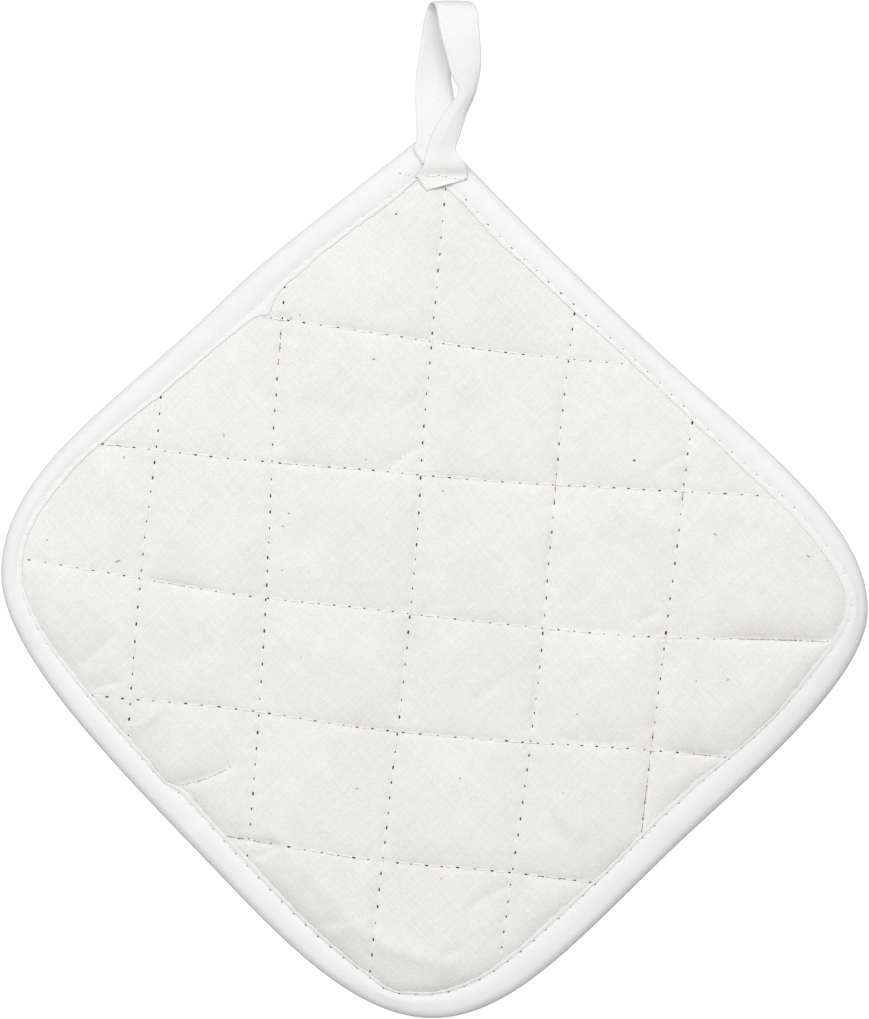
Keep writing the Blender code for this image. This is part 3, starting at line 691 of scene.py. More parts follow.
def panel_heights(points, seams, settings, insets, travelled):
    """Height of the panel's face and of its underside at points in the plan."""
    edge = Edge(travelled)
    clearance = insets - edge.tape
    inside = np.maximum(clearance - LIP_GAP, 0.0)
    puff_length = LIP_PUFF_LENGTH * (1.0 + LIP_PUFF_SPREAD * np.maximum(1.0 - edge.crisp, 0.0))
    from_lip = (1.0 - (1.0 - edge.roll) * np.exp(-inside / puff_length)
                - edge.roll * np.exp(-inside / LIP_ROLL_LENGTH))
    share = np.ones(len(points))
    pucker = np.zeros(len(points))
    for number, seam in enumerate(seams):
        distance = np.abs(seam.distance(points))
        shoulder = 1.0 - np.exp(-distance / SHOULDER_LENGTH)
        step_down = 1.0 - np.exp(-distance / STEP_DOWN_LENGTH)
        share = share * (shoulder * (1.0 - STEP_DOWN_SHARE) + step_down * STEP_DOWN_SHARE)
        turn = 2.0 * np.pi * seam.along(points) / seam.pitch
        wander = PUCKER_WANDER * soft_noise(points, PUCKER_WAVE, PUCKER_SEED + number)
        near = np.exp(-(distance / HOLE_RADIUS) ** 2) * nearness(turn)
        ripple = np.exp(-distance / PUCKER_REACH) * np.minimum(distance, 1.0)
        pucker -= settings.hole_dip / MM * near
        pucker += PUCKER_RISE * ripple * np.sin(turn + wander)
        pucker -= seam.pull(points, distance)
    lumps = (LUMP_RISE * soft_noise(points, *LUMP_WAVES)
             + RIPPLE_RISE * soft_noise(points, *RIPPLE_WAVES)
             + WRINKLE_RISE * soft_noise(points @ GRAIN_STRETCH, *WRINKLE_WAVES))
    face = from_lip * (1.0 - FACE_SEAM_DEPTH * (1.0 - share))
    back = from_lip * (1.0 - BACK_SEAM_DEPTH * (1.0 - share))
    share = share * from_lip
    lively = np.minimum(1.0, share * LUMP_ONSET)
    crown = settings.crown_rise / MM
    rim = blend(PAD_RIM_TAPER, 0.0, (insets - PAD_RIM_INSET)
                / (PAD_RIM_INSET_FLAT - PAD_RIM_INSET))
    edge_pull = np.clip(clearance / EDGE_CALM, 0.0, 1.0)
    snug = np.clip((SNUG_FROM - edge.crisp) / (SNUG_FROM - SNUG_TO), SNUG_LEAST, 1.0)
    fit = LIP_FIT_RISE * snug * blend(0.0, 1.0, 1.0 + clearance / LIP_FIT_LENGTH)
    top = (PAD_EDGE_TOP - rim + fit + edge.lifted(insets)
           + (crown - edge.lift) * face * (1.0 + CROWN_WANDER * soft_noise(points, *CROWN_WAVES))
           + lumps * lively + (pucker + crease_height(points)) * edge_pull)
    under = (PAD_EDGE_BOTTOM + rim - CROWN_SAG * back - BACK_LUMPS * lumps * (1.0 - share)
             - BACK_PUCKER * pucker * edge_pull)
    return top, np.maximum(under, 0.0)


def quilt_grid():
    """Points spread evenly over every cell, with grid lines along the quilting lines."""
    ticks = np.arange(CELL_STEPS) / CELL_STEPS
    shares = ticks - SEAM_CROWDING * np.sin(2.0 * np.pi * ticks) / (2.0 * np.pi)
    cells = range(-CELLS_BEYOND, LINES + CELLS_BEYOND)
    side = len(cells) * CELL_STEPS
    x = np.zeros((side, side))
    y = np.zeros((side, side))
    for _ in range(CROSSING_PASSES):
        for place, cell in enumerate(cells):
            part = slice(place * CELL_STEPS, (place + 1) * CELL_STEPS)
            near, far = upright_x(cell, y[part]), upright_x(cell + 1, y[part])
            x[part] = near + (far - near) * shares[:, None]
        for place, cell in enumerate(cells):
            part = slice(place * CELL_STEPS, (place + 1) * CELL_STEPS)
            low, high = level_y(cell, x[:, part]), level_y(cell + 1, x[:, part])
            y[:, part] = low + (high - low) * shares[None, :]
    return np.column_stack((x.ravel(), y.ravel())), side


def panel_plan():
    """The panel seen flat: points, faces and the loop of edges at its rim."""
    points, side = quilt_grid()
    insets = outline_foot(points)[0]
    inside = (insets > PANEL_GRID_INSET).reshape(side, side)
    whole = inside[:-1, :-1] & inside[1:, :-1] & inside[:-1, 1:] & inside[1:, 1:]
    rows, columns = np.nonzero(whole)
    corner = rows * side + columns
    quads = np.column_stack((corner, corner + side, corner + side + 1, corner + 1))
    used, quads = np.unique(quads, return_inverse=True)
    quads = quads.reshape(-1, 4)
    points = points[used]
    edges = np.vstack([quads[:, (step, (step + 1) % 4)] for step in range(4)])
    key = np.sort(edges, axis=1) @ (len(points), 1)
    _, first, count = np.unique(key, return_index=True, return_counts=True)
    rim_edges = edges[first[count == 1]]
    rim = np.unique(rim_edges)
    travelled = outline_foot(points[rim])[1]
    place = Edge(travelled)
    points[rim] = place.point + place.inward * PAD_RIM_INSET
    return points, fold_along_lip(points, quads), rim_edges


def fold_along_lip(points, quads):
    """Move points near the binding's lip onto it, and cut the faces there along it."""
    insets, travelled = outline_foot(points)
    place = Edge(travelled)
    clearance = insets - place.tape - LIP_GAP
    ends = np.vstack([quads[:, (step, (step + 1) % 4)] for step in range(4)])
    ends = ends[np.prod(clearance[ends], axis=1) < 0.0]
    nearer = np.abs(clearance[ends]).argmin(axis=1)
    moved = np.unique(ends[np.arange(len(ends)), nearer])
    points[moved] -= place.inward[moved] * clearance[moved, None]
    clearance[moved] = 0.0
    at = clearance[quads]
    cut = (np.abs(at) < LIP_CUT).any(axis=1)
    ways = (((0, 1, 2), (0, 2, 3)), ((0, 1, 3), (1, 2, 3)))
    cost = []
    for (first, second), (start, end) in zip(ways, ((0, 2), (1, 3))):
        thinnest = np.minimum(plan_area(points[quads[:, first]]),
                              plan_area(points[quads[:, second]]))
        cost.append(np.abs(at[:, start] - at[:, end]) + THIN_COST * (thinnest < THIN_FACE))
    faces = quads[~cut].tolist()
    for way, chosen in zip(ways, (cost[0] < cost[1], cost[0] >= cost[1])):
        for corners in way:
            faces += quads[cut & chosen][:, corners].tolist()
    return faces


def plan_area(corners):
    """Area of each triangle seen flat."""
    one, other = corners[:, 1] - corners[:, 0], corners[:, 2] - corners[:, 0]
    return 0.5 * (one[:, 0] * other[:, 1] - one[:, 1] * other[:, 0])


# Meshes -----------------------------------------------------------------------------

def linked(name, data):
    """New object in the scene that shows this mesh, light or camera."""
    item = bpy.data.objects.new(name, data)
    bpy.context.scene.collection.objects.link(item)
    return item


def mesh_piece(name, points, faces, material, uv=None):
    """New object from points in millimetres and faces, smooth all over."""
    mesh = bpy.data.meshes.new(name)
    mesh.from_pydata((points * MM).tolist(), [], faces)
    mesh.validate()
    mesh.shade_smooth()
    mesh.materials.append(material)
    if uv is not None:
        layer = mesh.uv_layers.new(name="cloth")
        layer.data.foreach_set("uv", np.asarray(uv, dtype=np.float32).ravel())
    return linked(name, mesh)


def panel_mesh(settings, sewing, material):
    """The quilted panel: two puffed faces over one plan, closed round the rim."""
    points, plan, rim_edges = panel_plan()
    insets, travelled = outline_foot(points)
    seams = quilting_seams(sewing)
    top, under = panel_heights(points, seams, settings, insets, travelled)
    both = np.vstack((np.column_stack((points, top)), np.column_stack((points, under))))
    below = len(points)
    rim = np.column_stack((rim_edges[:, 1], rim_edges[:, 0],
                           rim_edges[:, 0] + below, rim_edges[:, 1] + below))
    underside = [[corner + below for corner in reversed(face)] for face in plan]
    faces = plan + underside + rim.tolist()
    return mesh_piece("quilted_panel", both, faces, material)


def topstitch_track(sewing):
    """Stations round the binding, and how far along the topstitching each one is."""
    stations = Edge(np.arange(TAPE_STATIONS) * PERIMETER / TAPE_STATIONS)
    groove = stations.inset(stations.stitch)
    steps = np.linalg.norm(np.roll(groove, -1, axis=0) - groove, axis=1)
    total = steps.sum()
    pitch = total / round(total / (sewing.topstitch_pitch / MM))
    return stations, np.concatenate(([0.0], np.cumsum(steps)[:-1])), pitch


def binding_height(row_share, points, from_lip, from_stitch, near_hole, between, topside):
    """Small rises and dips that the sewing and handling leave in the tape's face."""
    ripple = (TAPE_RIPPLE * soft_noise(points, *TAPE_WAVES)
              + TAPE_FINE_RIPPLE * soft_noise(points, *TAPE_FINE_WAVES))
    drag = TAPE_DRAG * soft_noise(points @ GRAIN_STRETCH, *TAPE_DRAG_WAVES)
    lip = np.exp(-(from_lip / LIP_BAND) ** 2)
    groove = np.exp(-(from_stitch / GROOVE_BAND) ** 2)
    height = (ripple + drag) * np.sin(np.pi * np.clip(row_share, 0.0, 1.0))
    height += LIP_SCALLOP_RISE * lip * between - STITCH_PULL * groove * near_hole
    height += LIP_RISE_WANDER * lip * soft_noise(points, *LIP_RISE_WAVES)
    return height if topside else -height


def section_rows():
    """The tape section's top half, with the steps between its rows filled in."""
    table = [np.array(row[1:5]) for row in TAPE_SECTION]
    mirror = np.array((0.0, 0.0, 0.0, BINDING_TOP))
    turned = np.array((1.0, 1.0, 1.0, -1.0))
    before = table[1] * turned + mirror
    after = table[-2] * turned + mirror
    ends = [before] + table + [after]
    rows = []
    for index, row in enumerate(TAPE_SECTION[1:]):
        for step in range(row.steps):
            rows.append(catmull_rom(*ends[index:index + 4], step / row.steps))
    return np.array(rows + table[-1:])


def sweep(rings, closed, lengths, rounds):
    """Skin consecutive rings; lengths and rounds are the cloth's own coordinates."""
    count, size = rings.shape[:2]
    spans = count if closed else count - 1
    ring, step = [grid.ravel() for grid in
                  np.meshgrid(np.arange(spans), np.arange(size), indexing="ij")]
    ahead, beside = (ring + 1) % count, (step + 1) % size
    faces = np.column_stack((ring * size + step, ring * size + beside,
                             ahead * size + beside, ahead * size + step))
    along = np.column_stack((lengths[ring], lengths[ring], lengths[ring + 1], lengths[ring + 1]))
    across = np.column_stack((rounds[step], rounds[step + 1], rounds[step + 1], rounds[step]))
    return rings.reshape(-1, 3), faces, np.stack((along, across), axis=2)


def turned_outwards(points, faces, uv):
    """Faces and their coordinates, turned round together if they point inwards."""
    corners = points[faces]
    middle = corners.mean(axis=1)
    areas = (np.cross(corners[:, 1] - corners[:, 0], corners[:, 2] - corners[:, 0])
             + np.cross(corners[:, 2] - corners[:, 0], corners[:, 3] - corners[:, 0]))
    if (middle * areas).sum() < 0.0:
        return faces[:, ::-1], uv[:, ::-1]
    return faces, uv


def binding_mesh(sewing, material):
    """Tape folded over the edge all the way round, mitred at the looped corner."""
    stations, track, pitch = topstitch_track(sewing)
    turn = 2.0 * np.pi * track / pitch
    near_hole = nearness(turn)
    between = 0.5 - 0.5 * np.cos(turn)
    lip_shift = LIP_SCALLOP * (between - 0.5)
    rows = section_rows()
    columns = []
    for topside in (True, False):
        for lip, stitch, offset, height in rows if topside else rows[-2:0:-1]:
            inset = lip * stations.tape + stitch * stations.stitch + offset
            from_lip = stations.tape - inset
            shifted = lip_shift * np.exp(-np.maximum(from_lip, 0.0) / SCALLOP_DEPTH)
            inset = inset + shifted * (lip > LIP_SHARE_LEAST)
            place = stations.inset(inset)
            z = np.full(len(inset), height if topside else BINDING_TOP - height)
            if height > SLOT_TOP:
                z += binding_height(from_lip / stations.tape, place, from_lip,
                                    stations.stitch - inset, near_hole, between, topside)
                soften = ((1.0 - stations.crisp)
                          * (GROOVE_FILL * np.exp(-((inset - stations.stitch) / FILL_BAND) ** 2)
                             - LIP_SINK * np.exp(-np.maximum(from_lip, 0.0) / LEDGE_LENGTH)))
                z += soften if topside else -soften
            if topside:
                z += stations.lifted(inset)
            columns.append(np.column_stack((place, np.maximum(z, 0.0))))
    rings = np.stack(columns, axis=1)
    developed = np.linalg.norm(np.diff(rings[0], axis=0, append=rings[0][:1]), axis=1)
    rounds = np.concatenate(([0.0], np.cumsum(developed)))
    lengths = np.arange(TAPE_STATIONS + 1) * PERIMETER / TAPE_STATIONS
    points, faces, uv = sweep(rings, True, lengths, rounds)
    faces, uv = turned_outwards(points, faces, uv)
    item = mesh_piece("bias_binding", points, faces.tolist(), material, uv * UV_SCALE)
    # Painted shade: each point's "tone" darkens the tape's colour where it should lie in shade.
    painted_shade_values = item.data.attributes.new("tone", "FLOAT", "POINT")
    painted_shade_values.data.foreach_set("value", np.repeat(stations.tone, rings.shape[1]))
    return item


def loop_ring(left, right, forward, ridge, arch, thickness):
    """Points round the loop tape's section, outer face first, its arch outwards."""
    span = np.linalg.norm(right - left)
    across = (right - left) / span
    outward = np.cross(forward, across)
    outward /= np.linalg.norm(outward)
    angle = 2.0 * math.atan(2.0 * arch / span)
    share = np.linspace(-1.0, 1.0, LOOP_ACROSS + 1)[:, None]
    if angle > FLAT_ANGLE:
        radius = span / (2.0 * math.sin(angle))
        sideways = radius * np.sin(angle * share)
        lift = radius * (np.cos(angle * share) - math.cos(angle))
        facing = outward * np.cos(angle * share) + across * np.sin(angle * share)
    else:
        sideways = span / 2.0 * share
        lift = 0.0
        facing = outward
    lift = lift + ridge * (1.0 - np.abs(share - RIDGE_AT) / (1.0 + abs(RIDGE_AT))) ** RIDGE_POWER
    lift = lift - EDGE_GROOVE * np.exp(
        -((np.abs(share) - EDGE_GROOVE_AT) / EDGE_GROOVE_WIDTH) ** 2)
    rounded = np.sqrt(1.0 - np.abs(share) ** LOOP_EDGE_POWER)
    half = thickness / 2.0 * np.maximum(LOOP_EDGE_LEAST, rounded)
    middle = (left + right) / 2.0 + across * sideways + outward * lift
    return np.vstack((middle + facing * half, (middle - facing * half)[::-1]))


def loop_edges():
    """Both edges, the ridge and the arch of the tape at every step along the loop."""
    table = np.array([row[1:] for row in LOOP])
    ends = np.vstack((table[:1], table, table[-1:]))
    rows = [catmull_rom(*ends[index:index + 4], step / LOOP_ROW_STEPS)
            for index in range(len(table) - 1) for step in range(LOOP_ROW_STEPS)]
    rows = np.array(rows + [table[-1]])
    return rows[:, 0:3], rows[:, 3:6], rows[:, 6], rows[:, 7]


def loop_mesh(material):
    """Folded tape from its tucked end, over the fold, to its loose end."""
    lefts, rights, ridges, arches = loop_edges()
    centres = (lefts + rights) / 2.0
    forward = np.gradient(centres, axis=0)
    steps = np.linalg.norm(np.diff(centres, axis=0), axis=1)
    lengths = np.concatenate(([0.0], np.cumsum(steps)))
    thickness = blend(LOOP_END_THICKNESS, LOOP_THICKNESS, (lengths[-1] - lengths) / LOOP_END_TAPER)
    rings = np.stack([loop_ring(*row) for row in
                      zip(lefts, rights, forward, ridges, arches, thickness)])
    x, y, z = rings.reshape(-1, 3).T
    ripple = soft_noise(np.column_stack((x + LOOP_NOISE_TURN * z, y - LOOP_NOISE_Y)), *LOOP_WAVES)
    rings[..., 2] += LOOP_RIPPLE * ripple.reshape(rings.shape[:2])
    middle = rings[LOOP_MIDDLE]
    developed = np.linalg.norm(np.diff(middle, axis=0, append=middle[:1]), axis=1)
    rounds = np.concatenate(([0.0], np.cumsum(developed)))
    points, faces, uv = sweep(rings, False, lengths, rounds)
    size = rings.shape[1]
    cap = np.arange(LOOP_ACROSS)
    first = np.column_stack((cap + 1, cap, size - 1 - cap, size - 2 - cap))
    last = first[:, ::-1] + (len(rings) - 1) * size
    caps = np.vstack((first, last))
    cap_uv = np.stack((np.zeros(caps.shape), rounds[caps % size]), axis=2)
    faces, uv = turned_outwards(points, np.vstack((faces, caps)), np.vstack((uv, cap_uv)))
    return mesh_piece("hanging_loop_tape", points, faces.tolist(), material, uv * UV_SCALE)


# Sewing -----------------------------------------------------------------------------

def surface_of(items):
    """Tree for finding the finished cloth above or below a place in the plan."""
    points = []
    faces = []
    for item in items:
        first = len(points)
        points += [vertex.co.copy() for vertex in item.data.vertices]
        faces += [[first + corner for corner in face.vertices] for face in item.data.polygons]
    return BVHTree.FromPolygons(points, faces)


Row = namedtuple("Row", "found normals sizes")


def on_cloth(surface, places, from_above, sizes=1.0):
    """Where a needle put straight in at each place meets the cloth, and its normal."""
    start = RAY_HEIGHT if from_above else -RAY_HEIGHT
    direction = Vector((0.0, 0.0, -1.0 if from_above else 1.0))
    found = []
    normals = []
    for x, y in places:
        hit, normal, _, _ = surface.ray_cast(Vector((x * MM, y * MM, start * MM)), direction)
        if hit is None:
            raise RuntimeError(f"no cloth under the needle at {x:.1f}, {y:.1f} mm")
        found.append(hit)
        normals.append(normal)
    return Row(found, normals, np.broadcast_to(sizes, len(found)).tolist())


def runs_between(found):
    """Direction of the row at each of its holes."""
    last = len(found) - 1
    return [(found[min(step + 1, last)] - found[max(step - 1, 0)]).normalized()
            for step in range(len(found))]


def sewing_track(name, rows):
    """Loose mesh with a vertex for each needle hole and an edge for each stitch."""
    points = []
    edges = []
    ups = []
    runs = []
    sizes = []
    for row in rows:
        first = len(points)
        points += row.found
        ups += row.normals
        sizes += row.sizes
        runs += runs_between(row.found)
        edges += [(first + step, first + step + 1) for step in range(len(row.found) - 1)]
    return track_object(name, points, edges, (ups, runs, sizes))


def track_object(name, points, edges, values):
    """Loose mesh whose vertices carry the cloth's normal, the way to lie and a size."""
    ups, runs, sizes = values
    mesh = bpy.data.meshes.new(name)
    mesh.from_pydata(points, edges, [])
    for label, vectors in (("up", ups), ("run", runs)):
        layer = mesh.attributes.new(label, "FLOAT_VECTOR", "POINT")
        layer.data.foreach_set("vector", [part for vector in vectors for part in vector])
    mesh.attributes.new("size", "FLOAT", "POINT").data.foreach_set("value", sizes)
    return linked(name, mesh)


class Tree:
    """A node tree being built, with short ways to add nodes, links and inputs."""

    def __init__(self, tree):
        """Start with this tree."""
        self.tree = tree

    def add(self, kind, **settings):
        """New node with these properties, its inputs set or linked by number or name."""
        values = settings.pop("values", {})
        node = self.tree.nodes.new(kind)
        for label, value in settings.items():
            setattr(node, label, value)
        for socket, value in values.items():
            if isinstance(value, bpy.types.NodeSocket):
                self.tree.links.new(value, node.inputs[socket])
            else:
                node.inputs[socket].default_value = value
        return node

    def link(self, source, target):
        """Join two sockets."""
        self.tree.links.new(source, target)

    def math(self, operation, *values):
        """Result of this operation on numbers or sockets."""
        return self.add("ShaderNodeMath", operation=operation,
                        values=dict(enumerate(values))).outputs[0]

    def vector(self, operation, first, second):
        """Result of this operation on two vectors, or of scaling a vector by a number."""
        values = {0: first, "Scale" if operation == "SCALE" else 1: second}
        return self.add("ShaderNodeVectorMath", operation=operation, values=values).outputs[0]

    def combine(self, *parts):
        """Vector made of these parts, in order."""
        return self.add("ShaderNodeCombineXYZ", values=dict(enumerate(parts))).outputs[0]

    def stored(self, name, kind="FLOAT_VECTOR"):
        """Values that the track's points carry under this name."""
        return self.add("GeometryNodeInputNamedAttribute", data_type=kind,
                        values={"Name": name}).outputs["Attribute"]


def new_group(name, inputs):
    """Geometry node group with a mesh in and out and these named inputs."""
    group = bpy.data.node_groups.new(name, "GeometryNodeTree")
    group.is_modifier = True
    face = group.interface
    face.new_socket("Geometry", in_out="OUTPUT", socket_type="NodeSocketGeometry")
    face.new_socket("Geometry", in_out="INPUT", socket_type="NodeSocketGeometry")
    for label, kind in inputs:
        face.new_socket(label, in_out="INPUT", socket_type=kind)
    tree = Tree(group)
    return tree, tree.add("NodeGroupInput").outputs, tree.add("NodeGroupOutput").inputs


def instances_out(tree, points, shape, rotation, scale, material, result):
    """Put the shape on every point and end the tree as real faces with a material."""
    placed = tree.add("GeometryNodeInstanceOnPoints", values={
        "Points": points, "Instance": shape, "Rotation": rotation, "Scale": scale})
    real = tree.add("GeometryNodeRealizeInstances", values={"Geometry": placed.outputs[0]})
    finished = tree.add("GeometryNodeSetMaterial", values={
        "Geometry": real.outputs[0], "Material": material})
    tree.link(finished.outputs[0], result["Geometry"])


def stitch_group():
    """Node group that lays a bowed thread from each needle hole to the next."""
    tree, given, result = new_group("stitches_between_holes", (
        ("Thread diameter", "NodeSocketFloat"), ("Cover", "NodeSocketFloat"),
        ("Rise", "NodeSocketFloat"), ("Wander", "NodeSocketFloat"),
        ("Thread", "NodeSocketMaterial"), ("Seed", "NodeSocketInt")))
    ends = tree.add("GeometryNodeInputMeshEdgeVertices").outputs
    caught = tree.add("GeometryNodeCaptureAttribute", domain="EDGE")
    caught.capture_items.new("VECTOR", "Run")
    caught.capture_items.new("VECTOR", "Up")
    tree.link(given["Geometry"], caught.inputs["Geometry"])
    tree.link(tree.vector("SUBTRACT", ends["Position 2"], ends["Position 1"]),
              caught.inputs["Run"])
    tree.link(tree.stored("up"), caught.inputs["Up"])
    points = tree.add("GeometryNodeMeshToPoints", mode="EDGES", values={
        "Mesh": caught.outputs["Geometry"]}).outputs[0]
    run = caught.outputs["Run"]
    length = tree.add("ShaderNodeVectorMath", operation="LENGTH", values={
        0: run}).outputs["Value"]
    chance = tree.add("FunctionNodeRandomValue", data_type="FLOAT_VECTOR", values={
        0: [-part for part in STITCH_STRAY], 1: STITCH_STRAY, "Seed": given["Seed"]})
    stray = tree.vector("SCALE", chance.outputs["Value"],
                        tree.math("MULTIPLY", length, given["Wander"]))
    turn = tree.add("FunctionNodeAxesToRotation", primary_axis="X", secondary_axis="Z", values={
        "Primary Axis": tree.vector("ADD", run, stray), "Secondary Axis": caught.outputs["Up"]})
    scale = tree.combine(tree.math("MULTIPLY", length, given["Cover"]), 1.0, 1.0)
    radius = tree.math("MULTIPLY", given["Thread diameter"], 0.5)
    sunk = tree.math("MULTIPLY", given["Thread diameter"], -STITCH_SINK)
    bow = tree.add("GeometryNodeCurveQuadraticBezier", values={
        "Resolution": STITCH_STEPS, "Start": tree.combine(-0.5, 0.0, sunk),
        "Middle": tree.combine(0.0, 0.0, given["Rise"]), "End": tree.combine(0.5, 0.0, sunk)})
    ring = tree.add("GeometryNodeCurvePrimitiveCircle", values={
        "Resolution": STITCH_SIDES, "Radius": radius})
    thread = tree.add("GeometryNodeCurveToMesh", values={
        "Curve": bow.outputs[0], "Profile Curve": ring.outputs[0], "Fill Caps": True})
    instances_out(tree, points, thread.outputs[0], turn.outputs[0], scale,
                  given["Thread"], result)
    return tree.tree


def spot_group():
    """Node group that sinks a small lens at every point: needle holes and crease lines, as painted
    shade, and flecks.
    """
    tree, given, result = new_group("lens_at_each_point", (
        ("Length", "NodeSocketFloat"), ("Width", "NodeSocketFloat"),
        ("Depth", "NodeSocketFloat"), ("Unevenness", "NodeSocketFloat"),
        ("Finish", "NodeSocketMaterial"), ("Seed", "NodeSocketInt")))
    points = tree.add("GeometryNodeMeshToPoints", mode="VERTICES", values={
        "Mesh": given["Geometry"]}).outputs[0]
    turn = tree.add("FunctionNodeAxesToRotation", primary_axis="Z", secondary_axis="X", values={
        "Primary Axis": tree.stored("up"), "Secondary Axis": tree.stored("run")})
    chance = tree.add("FunctionNodeRandomValue", data_type="FLOAT", values={
        2: tree.math("SUBTRACT", 1.0, given["Unevenness"]),
        3: tree.math("ADD", 1.0, given["Unevenness"]), "Seed": given["Seed"]})
    share = tree.math("MULTIPLY", chance.outputs[1], tree.stored("size", "FLOAT"))
    scale = tree.vector("SCALE", tree.combine(given["Length"], given["Width"], given["Depth"]),
                        share)
    lens = tree.add("GeometryNodeMeshUVSphere", values={
        "Segments": LENS_SEGMENTS, "Rings": LENS_RINGS, "Radius": 0.5})
    instances_out(tree, points, lens.outputs[0], turn.outputs[0], scale,
                  given["Finish"], result)
    return tree.tree


def made_by_nodes(name, track, group, inputs):
    """Run the group on a track and keep the result as a plain mesh piece."""
    modifier = track.modifiers.new(group.name, "NODES")
    modifier.node_group = group
    for socket in group.interface.items_tree:
        if socket.item_type == "SOCKET" and socket.in_out == "INPUT" and socket.name in inputs:
            modifier[socket.identifier] = inputs[socket.name]
    depsgraph = bpy.context.evaluated_depsgraph_get()
    mesh = bpy.data.meshes.new_from_object(track.evaluated_get(depsgraph))
    if not mesh.polygons:
        raise RuntimeError(f"{name}: the nodes made nothing")
    bpy.data.objects.remove(track)
    mesh.name = name
    mesh.shade_smooth()
    return linked(name, mesh)


# Finishes ---------------------------------------------------------------------------

# What every cloth shares: its gloss and sheen, the part of a noise's range that is used,
# and how fine its noises are, in waves a millimetre.
SPECULAR = 0.2
CLOTH_ROUGHNESS = 0.92
SHEEN = 0.08
SHEEN_ROUGHNESS = 0.6
NOISE_ROUGHNESS = 0.55
NOISE_LOW = 0.3
NOISE_HIGH = 0.7
FUZZ_SCALE = 2.2
CLOUD_SCALE = 0.05
WEAVE_RELIEF = 0.35
GRAIN_STRENGTH = 0.5
GRAIN_HEIGHT = 0.05

# Roughness of thread, of the dark lenses painted as shade in holes and creases, and of flecks, and
# the size of their grain.
THREAD_GRAIN = (0.7, 0.3)
HOLE_SHADOW_GRAIN = (0.95, 0.4)
PAINTED_LINE_GRAIN = (0.95, 0.5)
FLECK_GRAIN = (0.9, 0.5)
STAGE_ROUGHNESS = 0.9


def new_finish(name, roughness):
    """New material, with its tree and its shader."""
    material = bpy.data.materials.new(name)
    material.use_nodes = True
    shader = material.node_tree.nodes["Principled BSDF"]
    shader.inputs["Roughness"].default_value = roughness
    shader.inputs["Specular IOR Level"].default_value = SPECULAR
    return material, Tree(material.node_tree), shader


def mixed(tree, share, low, high):
    """Colour between two, by a share."""
    mix = tree.add("ShaderNodeMix", data_type="RGBA", values={
        6: (*low, 1.0), 7: (*high, 1.0)})
    tree.link(share, mix.inputs[0])
    return mix.outputs[2]


def relieved(tree, shader, height, strength, distance_mm):
    """Let a height stand out on the shader as bump."""
    bump = tree.add("ShaderNodeBump", values={
        "Strength": strength, "Distance": distance_mm * MM, "Height": height})
    tree.link(bump.outputs[0], shader.inputs["Normal"])


def cloth_finish(name, thread_colour, shade_colour, weave):
    """Plain-woven cloth: crossed threads, uneven slubs and a cloudy tone."""
    material, tree, shader = new_finish(name, CLOTH_ROUGHNESS)
    shader.inputs["Sheen Weight"].default_value = SHEEN
    shader.inputs["Sheen Roughness"].default_value = SHEEN_ROUGHNESS
    place = tree.add("ShaderNodeTexCoord").outputs[weave.coordinates]
    grain = tree.add("ShaderNodeMapping", values={
        "Vector": place, "Rotation": (0.0, 0.0, math.radians(weave.turn)),
        "Scale": (weave.to_mm,) * 3}).outputs[0]
    parts = tree.add("ShaderNodeSeparateXYZ", values={0: grain}).outputs

    def threads(source):
        """Waves as wide as two threads."""
        return tree.math("SINE", tree.math("MULTIPLY", source, math.pi / weave.thread_pitch))

    def streaks(scale, detail=2.0):
        """Noise drawn out along one set of threads."""
        spot = tree.add("ShaderNodeMapping", values={"Vector": grain, "Scale": scale})
        return tree.add("ShaderNodeTexNoise", values={
            "Vector": spot.outputs[0], "Scale": 1.0, "Detail": detail,
            "Roughness": NOISE_ROUGHNESS}).outputs["Fac"]

    def spread(source, reach):
        """Middle range of a noise, spread this far on both sides of zero."""
        return tree.add("ShaderNodeMapRange", values={
            "Value": source, "From Min": NOISE_LOW, "From Max": NOISE_HIGH,
            "To Min": -reach, "To Max": reach}).outputs[0]

    over_under = tree.math("MULTIPLY", threads(parts["X"]), threads(parts["Y"]))
    slubs = tree.math("ADD", spread(streaks(weave.warp_scale), 1.0),
                      spread(streaks(weave.weft_scale), 1.0))
    fuzz = streaks((FUZZ_SCALE,) * 3)
    cloud = streaks((CLOUD_SCALE,) * 3, 3.0)
    tone = tree.math("MULTIPLY", slubs, weave.slub_tone)
    tone = tree.math("ADD", tone, spread(fuzz, weave.fuzz_tone))
    tone = tree.math("ADD", tone, spread(cloud, weave.cloud_tone))
    tone = tree.math("ADD", tone, tree.math("MULTIPLY", over_under, weave.weave_tone))
    share = tree.add("ShaderNodeMapRange", values={
        "Value": tone, "From Min": -0.5, "From Max": 0.5, "To Min": 0.0, "To Max": 1.0})
    finished = mixed(tree, share.outputs[0], shade_colour, thread_colour)
    # Painted shade: the piece's "tone" attribute darkens its colour where it should lie in shade.
    if weave.toned:
        painted_shade_here = tree.add("ShaderNodeAttribute", attribute_name="tone").outputs["Fac"]
        finished = tree.vector("SCALE", finished, painted_shade_here)
    tree.link(finished, shader.inputs["Base Color"])
    relief = tree.math("ADD", tree.math("MULTIPLY", over_under, WEAVE_RELIEF),
                       tree.math("MULTIPLY", slubs, weave.slub_relief))
    relief = tree.math("ADD", relief, tree.math("MULTIPLY", fuzz, weave.fuzz_relief))
    relieved(tree, shader, relief, weave.bump_strength, weave.bump_height)
    return material


